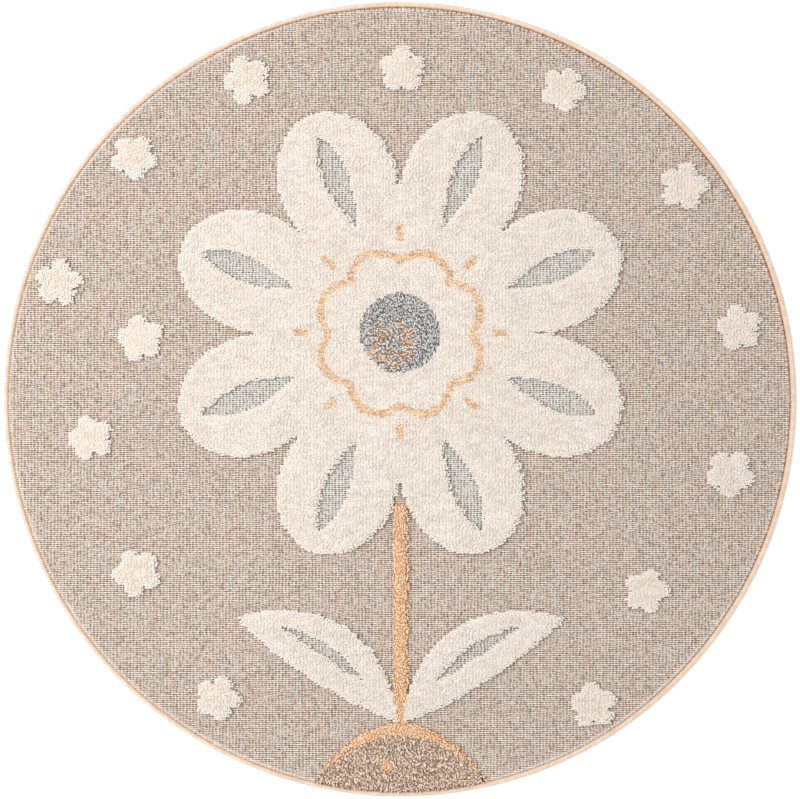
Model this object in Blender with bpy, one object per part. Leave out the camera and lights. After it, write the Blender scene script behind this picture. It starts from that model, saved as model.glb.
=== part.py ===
"""Round pictorial rug, lying flat: a woven body with a picture in raised pile, and its bound edge.

Metres, +Z up. The origin is on the floor under the middle of the rug, and +Y points to the top of the
picture. The picture is a plain flower on a stem with two leaves, over a mound, among small blossoms.
"""

import math
from typing import NamedTuple

import bmesh
import bpy
import numpy as np

# Driving dimensions.
DIAMETER = 1.200
GROUND_TOP = 0.0050  # upper face of the flat-woven ground
PILE_TOP = 0.0130  # upper face of the cut pile
PILE_ROOT = 0.0030  # the pile is rooted this high inside the ground
SHOULDER_WIDTH = 0.0035  # the pile's rounded rim, measured inwards
SHOULDER_DROP = 0.0030  # the same rim, measured down
BINDING_WIDTH = 0.0090
BINDING_TOP = 0.0070
BINDING_WRAP = 0.0023  # yarn outside the cut edge of the body
BINDING_UNDER = 0.0012  # yarn under the body
CLEARANCE = 0.0003  # between the body and the binding

# Steps of the curves.
EDGE_STEPS = 144
SHOULDER_STEPS = 2

# The flower.
FLOWER_CENTRE = (0.0, 0.100)
PETALS = 8
PETAL_NOTCH = 0.200  # from the flower's centre to the notch between two petals
PETAL_TIP = 0.355
PETAL_ROUNDNESS = 0.55
POINTS_PER_PETAL = 14
PETAL_SLIT_START = 0.172
PETAL_SLIT_LENGTH = 0.150
PETAL_SLIT_HALF = 0.020

# The stem, the leaves and the mound.
STEM_HALF = 0.011
STEM_TOP = -0.080
STEM_FOOT = -0.530
LEAF_ROOT = (0.004, -0.485)
LEAF_LIFT = math.radians(33.0)
LEAF_LENGTH = 0.285
LEAF_HALF = 0.046
LEAF_BEND = 0.028
LEAF_SLIT_START = 0.075
LEAF_SLIT_LENGTH = 0.150
LEAF_SLIT_HALF = 0.010
LEAF_POINTS = 14
MOUND_HALF_ANGLE = math.radians(12.5)
MOUND_RISE = 0.086
MOUND_POINTS = 12

# The small blossoms.
BLOSSOM_PETALS = 5
BLOSSOM_NOTCH = 0.62  # share of a blossom's radius at its notches
BLOSSOM_ROUNDNESS = 0.70
POINTS_PER_BLOSSOM_PETAL = 5


class Wave(NamedTuple):
    """One wave in the rug's cut edge: how many go round, how deep, and where one crest lies."""

    count: int
    depth: float
    crest: float


class Blossom(NamedTuple):
    """One small blossom: its place, its radius and its turn."""

    x: float
    y: float
    radius: float
    turn: float


EDGE_WAVES = (
    Wave(count=2, depth=0.0009, crest=math.radians(95)),
    Wave(count=5, depth=0.0004, crest=math.radians(290)),
    Wave(count=9, depth=0.0003, crest=math.radians(20)),
)

BLOSSOMS = (
    Blossom(x=0.004, y=0.498, radius=0.035, turn=0.3),
    Blossom(x=0.246, y=0.468, radius=0.034, turn=1.1),
    Blossom(x=-0.232, y=0.482, radius=0.036, turn=0.7),
    Blossom(x=0.428, y=0.322, radius=0.036, turn=0.1),
    Blossom(x=-0.402, y=0.366, radius=0.034, turn=1.0),
    Blossom(x=0.512, y=0.108, radius=0.034, turn=0.5),
    Blossom(x=-0.516, y=0.176, radius=0.035, turn=0.2),
    Blossom(x=0.498, y=-0.112, radius=0.036, turn=0.9),
    Blossom(x=-0.468, y=-0.058, radius=0.034, turn=0.6),
    Blossom(x=0.372, y=-0.290, radius=0.034, turn=0.0),
    Blossom(x=-0.398, y=-0.262, radius=0.036, turn=0.8),
    Blossom(x=0.292, y=-0.462, radius=0.035, turn=0.4),
    Blossom(x=-0.276, y=-0.452, radius=0.034, turn=1.2),
    Blossom(x=-0.392, y=0.092, radius=0.035, turn=0.5),
)


def clear_scene():
    """Removes every object of the startup scene."""
    for item in list(bpy.data.objects):
        bpy.data.objects.remove(item, do_unlink=True)


def yarn_material(name, colour, roughness=0.9):
    """A plain yarn: a colour, and a rough surface that isn't metal."""
    material = bpy.data.materials.new(name)
    material.use_nodes = True
    shader = material.node_tree.nodes["Principled BSDF"]
    shader.inputs["Base Color"].default_value = (*colour, 1.0)
    shader.inputs["Roughness"].default_value = roughness
    shader.inputs["Metallic"].default_value = 0.0
    return material


# Outlines: arrays of X and Y, anticlockwise. An inset draws the outline inwards.


def edge_outline(inset=0.0):
    """The rug's edge: a circle with the edge waves, its box centred on the origin."""
    angle = np.linspace(0.0, 2.0 * np.pi, EDGE_STEPS, endpoint=False)
    radius = np.full(EDGE_STEPS, DIAMETER / 2)
    for wave in EDGE_WAVES:
        radius += wave.depth * np.cos(wave.count * (angle - wave.crest))
    direction = np.column_stack((np.cos(angle), np.sin(angle)))
    outer = direction * radius[:, None]
    centre = (outer.min(axis=0) + outer.max(axis=0)) / 2
    return direction * (radius - inset)[:, None] - centre


def lobed_outline(centre, lobes, notch, tip, roundness, points_per_lobe, turn, inset=0.0):
    """A flower: its radius swings from notch to tip as a power of the cosine, once for each lobe."""
    angle = np.linspace(0.0, 2.0 * np.pi, lobes * points_per_lobe, endpoint=False)
    swing = np.abs(np.cos(lobes * angle / 2)) ** roundness
    radius = notch + (tip - notch) * swing - inset
    return np.column_stack(
        (centre[0] + radius * np.cos(angle + turn), centre[1] + radius * np.sin(angle + turn))
    )


def leaf_outline(root, lift, length, half_width, bend, fullness, points, inset=0.0):
    """A leaf: a bowed midrib, with a width that swells as a sine and is fullest past the middle."""
    share = np.linspace(0.0, 1.0, points)
    along = inset + share * (length - 2 * inset)
    half = np.maximum(half_width * np.sin(np.pi * share**fullness) ** 0.75 - inset, 0.0)
    half[[0, -1]] = 0.0
    bow = 4 * bend * share * (1 - share)
    direction = np.array((math.cos(lift), math.sin(lift)))
    sideways = np.array((-direction[1], direction[0]))
    midrib = np.array(root) + along[:, None] * direction + bow[:, None] * sideways
    lower = midrib - half[:, None] * sideways
    upper = midrib + half[:, None] * sideways
    return np.concatenate((lower, upper[-2:0:-1]))


def strip_outline(half_width, foot, top, inset=0.0):
    """An upright strip about X = 0."""
    half = half_width - inset
    return np.array(((-half, foot), (half, foot), (half, top), (-half, top)))


def mound_outline(inset=0.0):
    """A mound that sits on the edge binding at the foot of the picture."""
    spread = MOUND_HALF_ANGLE - inset / (DIAMETER / 2)
    angle = -np.pi / 2 + np.linspace(-spread, spread, MOUND_POINTS)
    reach = DIAMETER / 2 - BINDING_WIDTH - 2 * CLEARANCE - 0.001 - inset
    base = reach * np.column_stack((np.cos(angle), np.sin(angle)))
    share = np.linspace(1.0, -1.0, MOUND_POINTS)[1:-1]
    height = base[0, 1] + (MOUND_RISE - inset) * np.cos(share * np.pi / 2) ** 0.8
    return np.concatenate((base, np.column_stack((base[-1, 0] * share, height))))


# Solids.


def loft(name, rings, material):
    """A closed solid through rings of equal length, from the lowest to the highest.

    Each ring is an outline and its height. The first and the last are filled.
    """
    mesh = bpy.data.meshes.new(name)
    shape = bmesh.new()
    rows = [[shape.verts.new((x, y, z)) for x, y in outline] for outline, z in rings]
    shape.faces.new(rows[0][::-1])
    shape.faces.new(rows[-1])
    for low, high in zip(rows, rows[1:]):
        for i in range(len(low)):
            j = (i + 1) % len(low)
            shape.faces.new((low[i], low[j], high[j], high[i]))
    shape.to_mesh(mesh)
    shape.free()
    mesh.materials.append(material)
    solid = bpy.data.objects.new(name, mesh)
    bpy.context.scene.collection.objects.link(solid)
    return solid


def pile(name, outline, top, material):
    """A raised field of pile. outline is a function of the inset, and the rim is a quarter round."""
    rings = [(outline(0.0), PILE_ROOT)]
    for turn in np.linspace(0.0, np.pi / 2, SHOULDER_STEPS + 1):
        inset = SHOULDER_WIDTH * (1 - math.cos(turn))
        rings.append((outline(inset), top - SHOULDER_DROP * (1 - math.sin(turn))))
    return helper(loft(name, rings, material))


def slit_cutter(name, outline, top, material):
    """Cuts a slit down to the ground through a field of pile, and rounds the pile's rim there."""
    rings = [(outline(0.0), PILE_ROOT - 0.001)]
    for turn in np.linspace(0.0, np.pi / 2, SHOULDER_STEPS + 1):
        outset = SHOULDER_WIDTH * (1 - math.cos(turn))
        rings.append((outline(-outset), top - SHOULDER_DROP * (1 - math.sin(turn))))
    rings.append((outline(-SHOULDER_WIDTH), top + 0.001))
    return helper(loft(name, rings, material))


def helper(solid):
    """Marks a solid that is only joined to another or cut from it."""
    solid.hide_render = True
    solid.display_type = "WIRE"
    return solid


def combine(solid, other, operation):
    """Adds an exact Boolean modifier that carries the other solid's material over."""
    modifier = solid.modifiers.new(other.name, "BOOLEAN")
    modifier.operation = operation
    modifier.solver = "EXACT"
    modifier.material_mode = "TRANSFER"
    modifier.object = other


def flower(material):
    """The big flower, with a slit down to the ground in each petal."""
    turn = np.pi / PETALS

    def outline(inset):
        return lobed_outline(
            FLOWER_CENTRE, PETALS, PETAL_NOTCH, PETAL_TIP, PETAL_ROUNDNESS, POINTS_PER_PETAL, turn, inset
        )

    bloom = pile("flower", outline, PILE_TOP, material)
    for number in range(PETALS):
        lift = turn + 2 * np.pi * number / PETALS
        root = (
            FLOWER_CENTRE[0] + PETAL_SLIT_START * math.cos(lift),
            FLOWER_CENTRE[1] + PETAL_SLIT_START * math.sin(lift),
        )

        def slit(inset, root=root, lift=lift):
            return leaf_outline(
                root, lift, PETAL_SLIT_LENGTH, PETAL_SLIT_HALF, 0.0, 1.25, LEAF_POINTS, inset
            )

        combine(bloom, slit_cutter(f"petal_slit_{number}", slit, PILE_TOP, material), "DIFFERENCE")
    return bloom


def leaf(name, side, material):
    """One leaf with its slit. side is 1 to the right of the stem and -1 to the left."""
    top = PILE_TOP - 0.0002
    lift = LEAF_LIFT if side > 0 else math.pi - LEAF_LIFT
    root = (side * LEAF_ROOT[0], LEAF_ROOT[1])
    bend = side * LEAF_BEND

    def blade(inset):
        return leaf_outline(root, lift, LEAF_LENGTH, LEAF_HALF, bend, 1.0, LEAF_POINTS, inset)

    start = LEAF_SLIT_START / LEAF_LENGTH
    bow = 4 * bend * start * (1 - start)
    slit_root = (
        root[0] + LEAF_SLIT_START * math.cos(lift) - bow * math.sin(lift),
        root[1] + LEAF_SLIT_START * math.sin(lift) + bow * math.cos(lift),
    )

    def slit(inset):
        return leaf_outline(
            slit_root, lift, LEAF_SLIT_LENGTH, LEAF_SLIT_HALF, 0.25 * bend, 1.0, LEAF_POINTS, inset
        )

    body = pile(name, blade, top, material)
    combine(body, slit_cutter(f"{name}_slit", slit, top, material), "DIFFERENCE")
    return body


def blossoms(material):
    """The small blossoms, as separate fields of pile."""
    solids = []
    for number, place in enumerate(BLOSSOMS):

        def outline(inset, place=place):
            return lobed_outline(
                (place.x, place.y),
                BLOSSOM_PETALS,
                BLOSSOM_NOTCH * place.radius,
                place.radius,
                BLOSSOM_ROUNDNESS,
                POINTS_PER_BLOSSOM_PETAL,
                place.turn,
                inset,
            )

        solids.append(pile(f"blossom_{number}", outline, PILE_TOP - 0.0003, material))
    return solids


def rug_body(ground, cream, peach, taupe):
    """The woven body: the ground, stepped up under the binding, and all the fields of pile."""
    inner = BINDING_WIDTH + CLEARANCE
    rim = BINDING_WRAP + CLEARANCE
    ledge = BINDING_UNDER + CLEARANCE
    rings = (
        (edge_outline(inner), 0.0),
        (edge_outline(inner), ledge),
        (edge_outline(rim), ledge),
        (edge_outline(rim), GROUND_TOP),
    )
    body = loft("rug_body", rings, ground)
    fields = [
        flower(cream),
        leaf("leaf_right", 1, cream),
        leaf("leaf_left", -1, cream),
        pile(
            "stem",
            lambda inset: strip_outline(STEM_HALF, STEM_FOOT, STEM_TOP, inset),
            PILE_TOP - 0.0004,
            peach,
        ),
        pile("mound", mound_outline, PILE_TOP - 0.0001, taupe),
        *blossoms(cream),
    ]
    for field in fields:
        combine(body, field, "UNION")
    return body


def edge_binding(material):
    """The overlocked yarn: a rounded section, open inwards, that wraps the body's rim all the way round."""
    rise = GROUND_TOP + CLEARANCE
    crown = BINDING_TOP - rise
    section = (
        (BINDING_WIDTH, 0.0),
        (BINDING_WRAP, 0.0),
        (0.25 * BINDING_WRAP, 0.25 * BINDING_TOP),
        (0.0, 0.5 * BINDING_TOP),
        (0.25 * BINDING_WRAP, 0.78 * BINDING_TOP),
        (1.1 * BINDING_WRAP, 0.97 * BINDING_TOP),
        (0.6 * BINDING_WIDTH, BINDING_TOP),
        (0.9 * BINDING_WIDTH, rise + 0.7 * crown),
        (BINDING_WIDTH, rise),
        (BINDING_WRAP, rise),
        (BINDING_WRAP, BINDING_UNDER),
        (BINDING_WIDTH, BINDING_UNDER),
    )
    mesh = bpy.data.meshes.new("edge_binding")
    shape = bmesh.new()
    rows = []
    for inset, height in section:
        rows.append([shape.verts.new((x, y, height)) for x, y in edge_outline(inset)])
    for k in range(len(rows)):
        here, after = rows[k], rows[(k + 1) % len(rows)]
        for i in range(EDGE_STEPS):
            j = (i + 1) % EDGE_STEPS
            shape.faces.new((here[i], here[j], after[j], after[i]))
    bmesh.ops.recalc_face_normals(shape, faces=shape.faces)
    shape.to_mesh(mesh)
    shape.free()
    mesh.materials.append(material)
    ring = bpy.data.objects.new("edge_binding", mesh)
    bpy.context.scene.collection.objects.link(ring)
    return ring


def build_rug():
    """Makes the two parts of the rug and rounds their shading."""
    clear_scene()
    ground = yarn_material("ground_yarn", (0.60, 0.50, 0.42))
    cream = yarn_material("cream_yarn", (0.86, 0.77, 0.67))
    peach = yarn_material("peach_yarn", (0.78, 0.49, 0.28))
    taupe = yarn_material("taupe_yarn", (0.56, 0.41, 0.31))
    binding = yarn_material("binding_yarn", (0.90, 0.66, 0.47))
    for solid in (rug_body(ground, cream, peach, taupe), edge_binding(binding)):
        solid.data.shade_smooth()
        solid.data.set_sharp_from_angle(angle=math.radians(35))


build_rug()
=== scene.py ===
"""A round pictorial rug, laid flat: flat-woven ground, cut pile and overlocked edge, yarn by yarn.

Metres, +Z up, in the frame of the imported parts. The ground and the pile share one loom grid: each cell of
the grid is either a flat stitch or a tuft, and the picture says which yarn it holds.
"""

import logging
import math
from dataclasses import dataclass
from enum import Enum
from typing import NamedTuple

import bpy
import numpy as np
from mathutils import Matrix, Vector


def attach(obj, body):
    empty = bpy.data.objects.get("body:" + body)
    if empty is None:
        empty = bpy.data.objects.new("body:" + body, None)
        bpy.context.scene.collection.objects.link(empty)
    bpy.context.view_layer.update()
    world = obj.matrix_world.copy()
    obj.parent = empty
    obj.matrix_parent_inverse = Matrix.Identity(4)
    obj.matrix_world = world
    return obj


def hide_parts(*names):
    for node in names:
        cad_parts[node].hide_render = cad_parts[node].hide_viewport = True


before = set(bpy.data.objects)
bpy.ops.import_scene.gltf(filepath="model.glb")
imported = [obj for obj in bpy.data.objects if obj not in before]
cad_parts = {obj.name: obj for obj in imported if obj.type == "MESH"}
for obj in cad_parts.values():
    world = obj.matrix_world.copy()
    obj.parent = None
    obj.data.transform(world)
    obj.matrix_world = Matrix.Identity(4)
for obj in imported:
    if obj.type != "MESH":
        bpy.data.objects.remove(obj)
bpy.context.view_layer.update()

LOG = logging.getLogger("rug")
Array = np.ndarray
Piece = bpy.types.Object
Material = bpy.types.Material
NodeTree = bpy.types.NodeTree
MILLIMETRE = 0.001
BAKE_MAP = "OFBake"
WEAVE_MAP = "weave"
YARN_DATA = "yarn"


class Yarn(Enum):
    """The yarns on the loom, each named after a material slot of the record."""

    GROUND = "ground_yarn"
    SLIT = "slit_yarn"
    CREAM = "cream_pile"
    SLATE = "slate_pile"
    PEACH = "peach_pile"
    TAUPE = "taupe_pile"
    BINDING = "binding_yarn"


PILE_YARNS = (Yarn.CREAM, Yarn.SLATE, Yarn.PEACH, Yarn.TAUPE)
CODE = {yarn: number for number, yarn in enumerate(Yarn)}


def smooth_noise(x: Array, y: Array, cell: float, seed: int) -> Array:
    """Random numbers on a square lattice, eased from one to the next by the cubic step 3f^2 - 2f^3.

    Args:
        x: Places along X, in metres.
        y: Places along Y, of the same shape.
        cell: Side of the lattice's squares, in metres.
        seed: Seed of the lattice's numbers.

    Returns:
        Values from -1 to 1, of the same shape.
    """
    size, shift = 256, 64.0
    table = np.random.default_rng(seed).uniform(-1.0, 1.0, (size, size))
    u, v = x / cell + shift, y / cell + shift
    i, j = np.floor(u).astype(int), np.floor(v).astype(int)
    f, g = u - i, v - j
    f, g = f * f * (3 - 2 * f), g * g * (3 - 2 * g)
    i, j = i % (size - 1), j % (size - 1)
    low = table[j, i] * (1 - f) + table[j, i + 1] * f
    high = table[j + 1, i] * (1 - f) + table[j + 1, i + 1] * f
    return low * (1 - g) + high * g


def smooth_step(low: float, high: float, value: Array) -> Array:
    """Rises from 0 at low to 1 at high along 3f^2 - 2f^3."""
    f = np.clip((value - low) / (high - low), 0.0, 1.0)
    return f * f * (3 - 2 * f)


class Ripple(NamedTuple):
    """One layer of smooth noise: how high it is, the side of its squares in metres, and its seed.

    A squeeze under 1 draws the squares out along X.
    """

    height: float
    cell: float
    seed: int
    squeeze: float = 1.0

    def at(self, x: Array, y: Array) -> Array:
        """The layer at each place: its height times the smooth noise."""
        return self.height * smooth_noise(self.squeeze * x, y, self.cell, self.seed)


class Puckers(NamedTuple):
    """Short waves near the edge, on one side of the rug.

    They are highest at some reach and bearing from the middle. width and spread are how far they last
    each way, and count is how many would go round the rug.
    """

    height: float
    reach: float
    width: float
    bearing: float
    spread: float
    count: int

    def at(self, x: Array, y: Array) -> Array:
        """Their height at each place: a sine round the rug, under a bell curve each way."""
        bearing = np.arctan2(y, x) % (2 * np.pi)
        near_edge = np.exp(-(((np.hypot(x, y) - self.reach) / self.width) ** 2))
        near_side = np.exp(-(((bearing - self.bearing) / self.spread) ** 2))
        return self.height * near_edge * near_side * np.sin(bearing * self.count)


class Wave(NamedTuple):
    """One wave in the rug's cut edge: how many go round, how deep, and where one crest lies."""

    count: int
    depth: float
    crest: float


class Blossom(NamedTuple):
    """One small blossom: its place, its radius and its turn."""

    x: float
    y: float
    radius: float
    turn: float


class Fleck(NamedTuple):
    """A spot where other yarns show through: its place, its radius, their share, and how much is taupe."""

    x: float
    y: float
    radius: float
    share: float
    muted: float


class FlowerShape(NamedTuple):
    """A flower's outline: its petals, the reach of its notches and tips, and how round the petals are."""

    petals: int
    notch: float
    tip: float
    roundness: float

    def covers(self, x: Array, y: Array, turn: float) -> Array:
        """Which places the flower covers: those whose radius is under notch plus a power of a cosine.

        Args:
            x: Places along X, from the flower's middle.
            y: Places along Y, of the same shape.
            turn: How far the flower is turned, in radians.

        Returns:
            True for each place on the flower.
        """
        c, s = math.cos(turn), math.sin(turn)
        u, v = x * c + y * s, y * c - x * s
        swing = np.abs(np.cos(self.petals * np.arctan2(v, u) / 2)) ** self.roundness
        return np.hypot(u, v) < self.notch + (self.tip - self.notch) * swing


class LeafShape(NamedTuple):
    """A leaf or a slit: its length, half its width, its bow, and how its width runs.

    A fullness over 1 is fullest past the middle, and a point under 1 has blunter ends than a sine.
    """

    length: float
    half: float
    bow: float = 0.0
    fullness: float = 1.0
    point: float = 0.75

    def covers(self, x: Array, y: Array, lift: float) -> Array:
        """Which places the leaf covers.

        Its midrib bows as a parabola, and its width swells as a power of a sine.

        Args:
            x: Places along X, from the leaf's root.
            y: Places along Y, of the same shape.
            lift: The leaf's direction, in radians from +X.

        Returns:
            True for each place on the leaf.
        """
        along = x * math.cos(lift) + y * math.sin(lift)
        across = y * math.cos(lift) - x * math.sin(lift)
        share = np.clip(along / self.length, 0.0, 1.0)
        swell = self.half * np.sin(np.pi * share**self.fullness) ** self.point
        return (np.abs(across - self.bow_at(share)) < swell) & (along > 0) & (along < self.length)

    def bow_at(self, share: Array | float) -> Array | float:
        """How far the midrib lies aside at a share of the length: 4 times bow times share times 1 - share."""
        return 4 * self.bow * share * (1 - share)


@dataclass(frozen=True)
class EdgeLine:
    """The rug's outer edge, a circle with a few shallow waves, and how far the binding reaches in from it."""

    diameter: float = 1.200
    waves: tuple[Wave, ...] = (
        Wave(count=2, depth=0.0009, crest=math.radians(95)),
        Wave(count=5, depth=0.0004, crest=math.radians(290)),
        Wave(count=9, depth=0.0003, crest=math.radians(20)),
    )
    steps: int = 144
    binding_middle: float = 0.0078
    binding_swing: float = 0.0010
    binding_widest: float = math.radians(35)

    def radius(self, angle: Array) -> Array:
        """The edge's distance from the middle: half the diameter plus a cosine for each wave."""
        total = np.full(np.shape(angle), self.diameter / 2)
        for wave in self.waves:
            total = total + wave.depth * np.cos(wave.count * (angle - wave.crest))
        return total

    def centre(self) -> Array:
        """The middle of the edge's box, which lies on the frame's origin."""
        angle = np.linspace(0.0, 2 * np.pi, self.steps, endpoint=False)
        line = self.radius(angle)[:, None] * np.column_stack((np.cos(angle), np.sin(angle)))
        return (line.min(axis=0) + line.max(axis=0)) / 2

    def binding_width(self, angle: Array) -> Array:
        """How wide the binding lies on top: a middle width plus one cosine, as the sewing drifted."""
        return self.binding_middle + self.binding_swing * np.cos(angle - self.binding_widest)

    def wide_side(self, angle: Array) -> Array:
        """How far an angle lies to the binding's wide side: a cosine, and 0 all round the other side."""
        return np.clip(np.cos(angle - self.binding_widest), 0.0, None)

    def inset(self, x: Array, y: Array) -> Array:
        """How far inside the edge each place lies, measured towards the middle."""
        middle = self.centre()
        x, y = x + middle[0], y + middle[1]
        return self.radius(np.arctan2(y, x)) - np.hypot(x, y)


@dataclass(frozen=True)
class Picture:
    """What the loom weaves: a flower on a stem with two leaves, over a mound, among small blossoms."""

    flower_centre: tuple[float, float] = (0.0, 0.100)
    flower: FlowerShape = FlowerShape(petals=8, notch=0.200, tip=0.355, roundness=0.55)
    petal_slit: LeafShape = LeafShape(length=0.150, half=0.020, fullness=1.25)
    petal_slit_start: float = 0.172
    disc_radius: float = 0.060
    ring_radius: float = 0.108
    ring_swing: float = 0.020
    line_half: float = 0.0058
    stamen_share: float = 0.8
    stamen_start: float = 0.138
    stamen_end: float = 0.162
    stem_half: float = 0.011
    stem_top: float = -0.160
    stem_foot: float = -0.530
    leaf_root: tuple[float, float] = (0.004, -0.485)
    leaf_lift: float = math.radians(33.0)
    leaf: LeafShape = LeafShape(length=0.285, half=0.046, bow=0.028)
    leaf_slit: LeafShape = LeafShape(length=0.150, half=0.010, bow=0.007)
    leaf_slit_start: float = 0.075
    mound_half_angle: float = math.radians(12.5)
    mound_reach: float = 0.5894
    mound_rise: float = 0.086
    mound_roundness: float = 0.8
    mound_band: float = 0.018
    blossom_petals: int = 5
    blossom_notch: float = 0.62
    blossom_roundness: float = 0.70
    blossoms: tuple[Blossom, ...] = (
        Blossom(x=0.004, y=0.498, radius=0.035, turn=0.3),
        Blossom(x=0.246, y=0.468, radius=0.034, turn=1.1),
        Blossom(x=-0.232, y=0.482, radius=0.036, turn=0.7),
        Blossom(x=0.428, y=0.322, radius=0.036, turn=0.1),
        Blossom(x=-0.402, y=0.366, radius=0.034, turn=1.0),
        Blossom(x=0.512, y=0.108, radius=0.034, turn=0.5),
        Blossom(x=-0.516, y=0.176, radius=0.035, turn=0.2),
        Blossom(x=0.498, y=-0.112, radius=0.036, turn=0.9),
        Blossom(x=-0.468, y=-0.058, radius=0.034, turn=0.6),
        Blossom(x=0.372, y=-0.290, radius=0.034, turn=0.0),
        Blossom(x=-0.398, y=-0.262, radius=0.036, turn=0.8),
        Blossom(x=0.292, y=-0.462, radius=0.035, turn=0.4),
        Blossom(x=-0.276, y=-0.452, radius=0.034, turn=1.2),
        Blossom(x=-0.392, y=0.092, radius=0.035, turn=0.5),
    )
    flecks: tuple[Fleck, ...] = (
        Fleck(x=-0.014, y=0.082, radius=0.038, share=0.55, muted=0.75),
        Fleck(x=-0.018, y=-0.552, radius=0.010, share=0.95, muted=0.0),
        Fleck(x=0.014, y=-0.560, radius=0.012, share=0.30, muted=0.0),
    )
    fleck_rows: int = 2
    fleck_seed: int = 5
    stray_x: Ripple = Ripple(height=1.1 * MILLIMETRE, cell=0.021, seed=11)
    stray_y: Ripple = Ripple(height=1.1 * MILLIMETRE, cell=0.021, seed=12)

    def big_flower(self, x: Array, y: Array) -> tuple[Array, Array]:
        """Which places the big flower and the slits in its petals cover.

        Args:
            x: Places along X, in metres.
            y: Places along Y, of the same shape.

        Returns:
            True for each place on the flower, and True for each place on its slits.
        """
        turn, start = math.pi / self.flower.petals, self.petal_slit_start
        u, v = x - self.flower_centre[0], y - self.flower_centre[1]
        slits = np.zeros(x.shape, bool)
        for number in range(self.flower.petals):
            lift = turn + 2 * math.pi * number / self.flower.petals
            slits |= self.petal_slit.covers(u - start * math.cos(lift), v - start * math.sin(lift), lift)
        return self.flower.covers(u, v, turn), slits

    def leaves(self, x: Array, y: Array) -> tuple[Array, Array]:
        """Which places the two leaves and the slits in them cover. The left leaf mirrors the right one.

        Args:
            x: Places along X, in metres.
            y: Places along Y, of the same shape.

        Returns:
            True for each place on the leaves, and True for each place on their slits.
        """
        blades, slits = np.zeros(x.shape, bool), np.zeros(x.shape, bool)
        start = self.leaf_slit_start
        bow = self.leaf.bow_at(start / self.leaf.length)
        c, s = math.cos(self.leaf_lift), math.sin(self.leaf_lift)
        slit_x, slit_y = start * c - bow * s, start * s + bow * c
        for side in (1, -1):
            u, v = side * x - self.leaf_root[0], y - self.leaf_root[1]
            blades |= self.leaf.covers(u, v, self.leaf_lift)
            slits |= self.leaf_slit.covers(u - slit_x, v - slit_y, self.leaf_lift)
        return blades, slits

    def mound(self, x: Array, y: Array, lower: float = 0.0) -> Array:
        """Which places the mound covers: under a power of a cosine, between two rays from the middle.

        Args:
            x: Places along X, in metres.
            y: Places along Y, of the same shape.
            lower: How much lower than its full height the mound is taken, in metres.

        Returns:
            True for each place on the mound.
        """
        foot = -self.mound_reach * math.cos(self.mound_half_angle)
        half = self.mound_reach * math.sin(self.mound_half_angle)
        share = np.clip(x / half, -1.0, 1.0)
        height = foot + (self.mound_rise - lower) * np.cos(share * math.pi / 2) ** self.mound_roundness
        return (y < height) & (np.abs(x) < half)

    def lines(self, x: Array, y: Array) -> Array:
        """Which places the peach lines cover.

        They are a ring about the flower's disc, scalloped as the size of a cosine, and a stamen between
        each two petals.

        Args:
            x: Places along X, in metres.
            y: Places along Y, of the same shape.

        Returns:
            True for each place on a line.
        """
        u, v = x - self.flower_centre[0], y - self.flower_centre[1]
        reach, bearing = np.hypot(u, v), np.arctan2(v, u)
        wave = np.abs(np.cos(self.flower.petals * bearing / 2 + math.pi / 2))
        ring = np.abs(reach - self.ring_radius - self.ring_swing * wave) < self.line_half
        step = 2 * math.pi / self.flower.petals
        off = (bearing + step / 2) % step - step / 2
        stamen = (np.abs(off) * reach < self.stamen_share * self.line_half) & (reach > self.stamen_start)
        return ring | (stamen & (reach < self.stamen_end))

    def blossom_field(self, x: Array, y: Array) -> Array:
        """Which places the small blossoms cover.

        Args:
            x: Places along X, in metres.
            y: Places along Y, of the same shape.

        Returns:
            True for each place on a blossom.
        """
        found = np.zeros(x.shape, bool)
        for place in self.blossoms:
            shape = FlowerShape(
                self.blossom_petals, self.blossom_notch * place.radius, place.radius, self.blossom_roundness
            )
            found |= shape.covers(x - place.x, y - place.y, place.turn)
        return found

    def yarns(self, x: Array, y: Array) -> Array:
        """The code of the yarn that each place shows.

        Args:
            x: Places along X, in metres, as rows by columns.
            y: Places along Y, of the same shape.

        Returns:
            CODE of a yarn for each place. Later shapes lie over earlier ones.
        """
        x = x + self.stray_x.at(x, y)
        y = y + self.stray_y.at(x, y)
        code = np.full(x.shape, CODE[Yarn.GROUND])
        stem = (np.abs(x) < self.stem_half) & (y > self.stem_foot) & (y < self.stem_top)
        blades, leaf_slits = self.leaves(x, y)
        bloom, petal_slits = self.big_flower(x, y)
        disc = np.hypot(x - self.flower_centre[0], y - self.flower_centre[1]) < self.disc_radius
        for covered, yarn in (
            (stem, Yarn.PEACH),
            (blades, Yarn.CREAM),
            (leaf_slits, Yarn.SLIT),
            (bloom, Yarn.CREAM),
            (bloom & petal_slits, Yarn.SLIT),
            (self.lines(x, y), Yarn.PEACH),
            (disc, Yarn.SLATE),
            (self.mound(x, y), Yarn.PEACH),
            (self.mound(x, y, self.mound_band), Yarn.TAUPE),
            (self.blossom_field(x, y), Yarn.CREAM),
        ):
            code[covered] = CODE[yarn]
        rows, columns = x.shape
        chance = np.random.default_rng(self.fleck_seed).random((rows // self.fleck_rows + 1, columns))
        chance = np.repeat(chance, self.fleck_rows, axis=0)[:rows]
        dark = (code == CODE[Yarn.SLATE]) | (code == CODE[Yarn.TAUPE])
        for fleck in self.flecks:
            near = np.hypot(x - fleck.x, y - fleck.y) < fleck.radius
            code[near & dark & (chance < fleck.share)] = CODE[Yarn.PEACH]
            code[near & dark & (chance < fleck.muted * fleck.share)] = CODE[Yarn.TAUPE]
        return code


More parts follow.
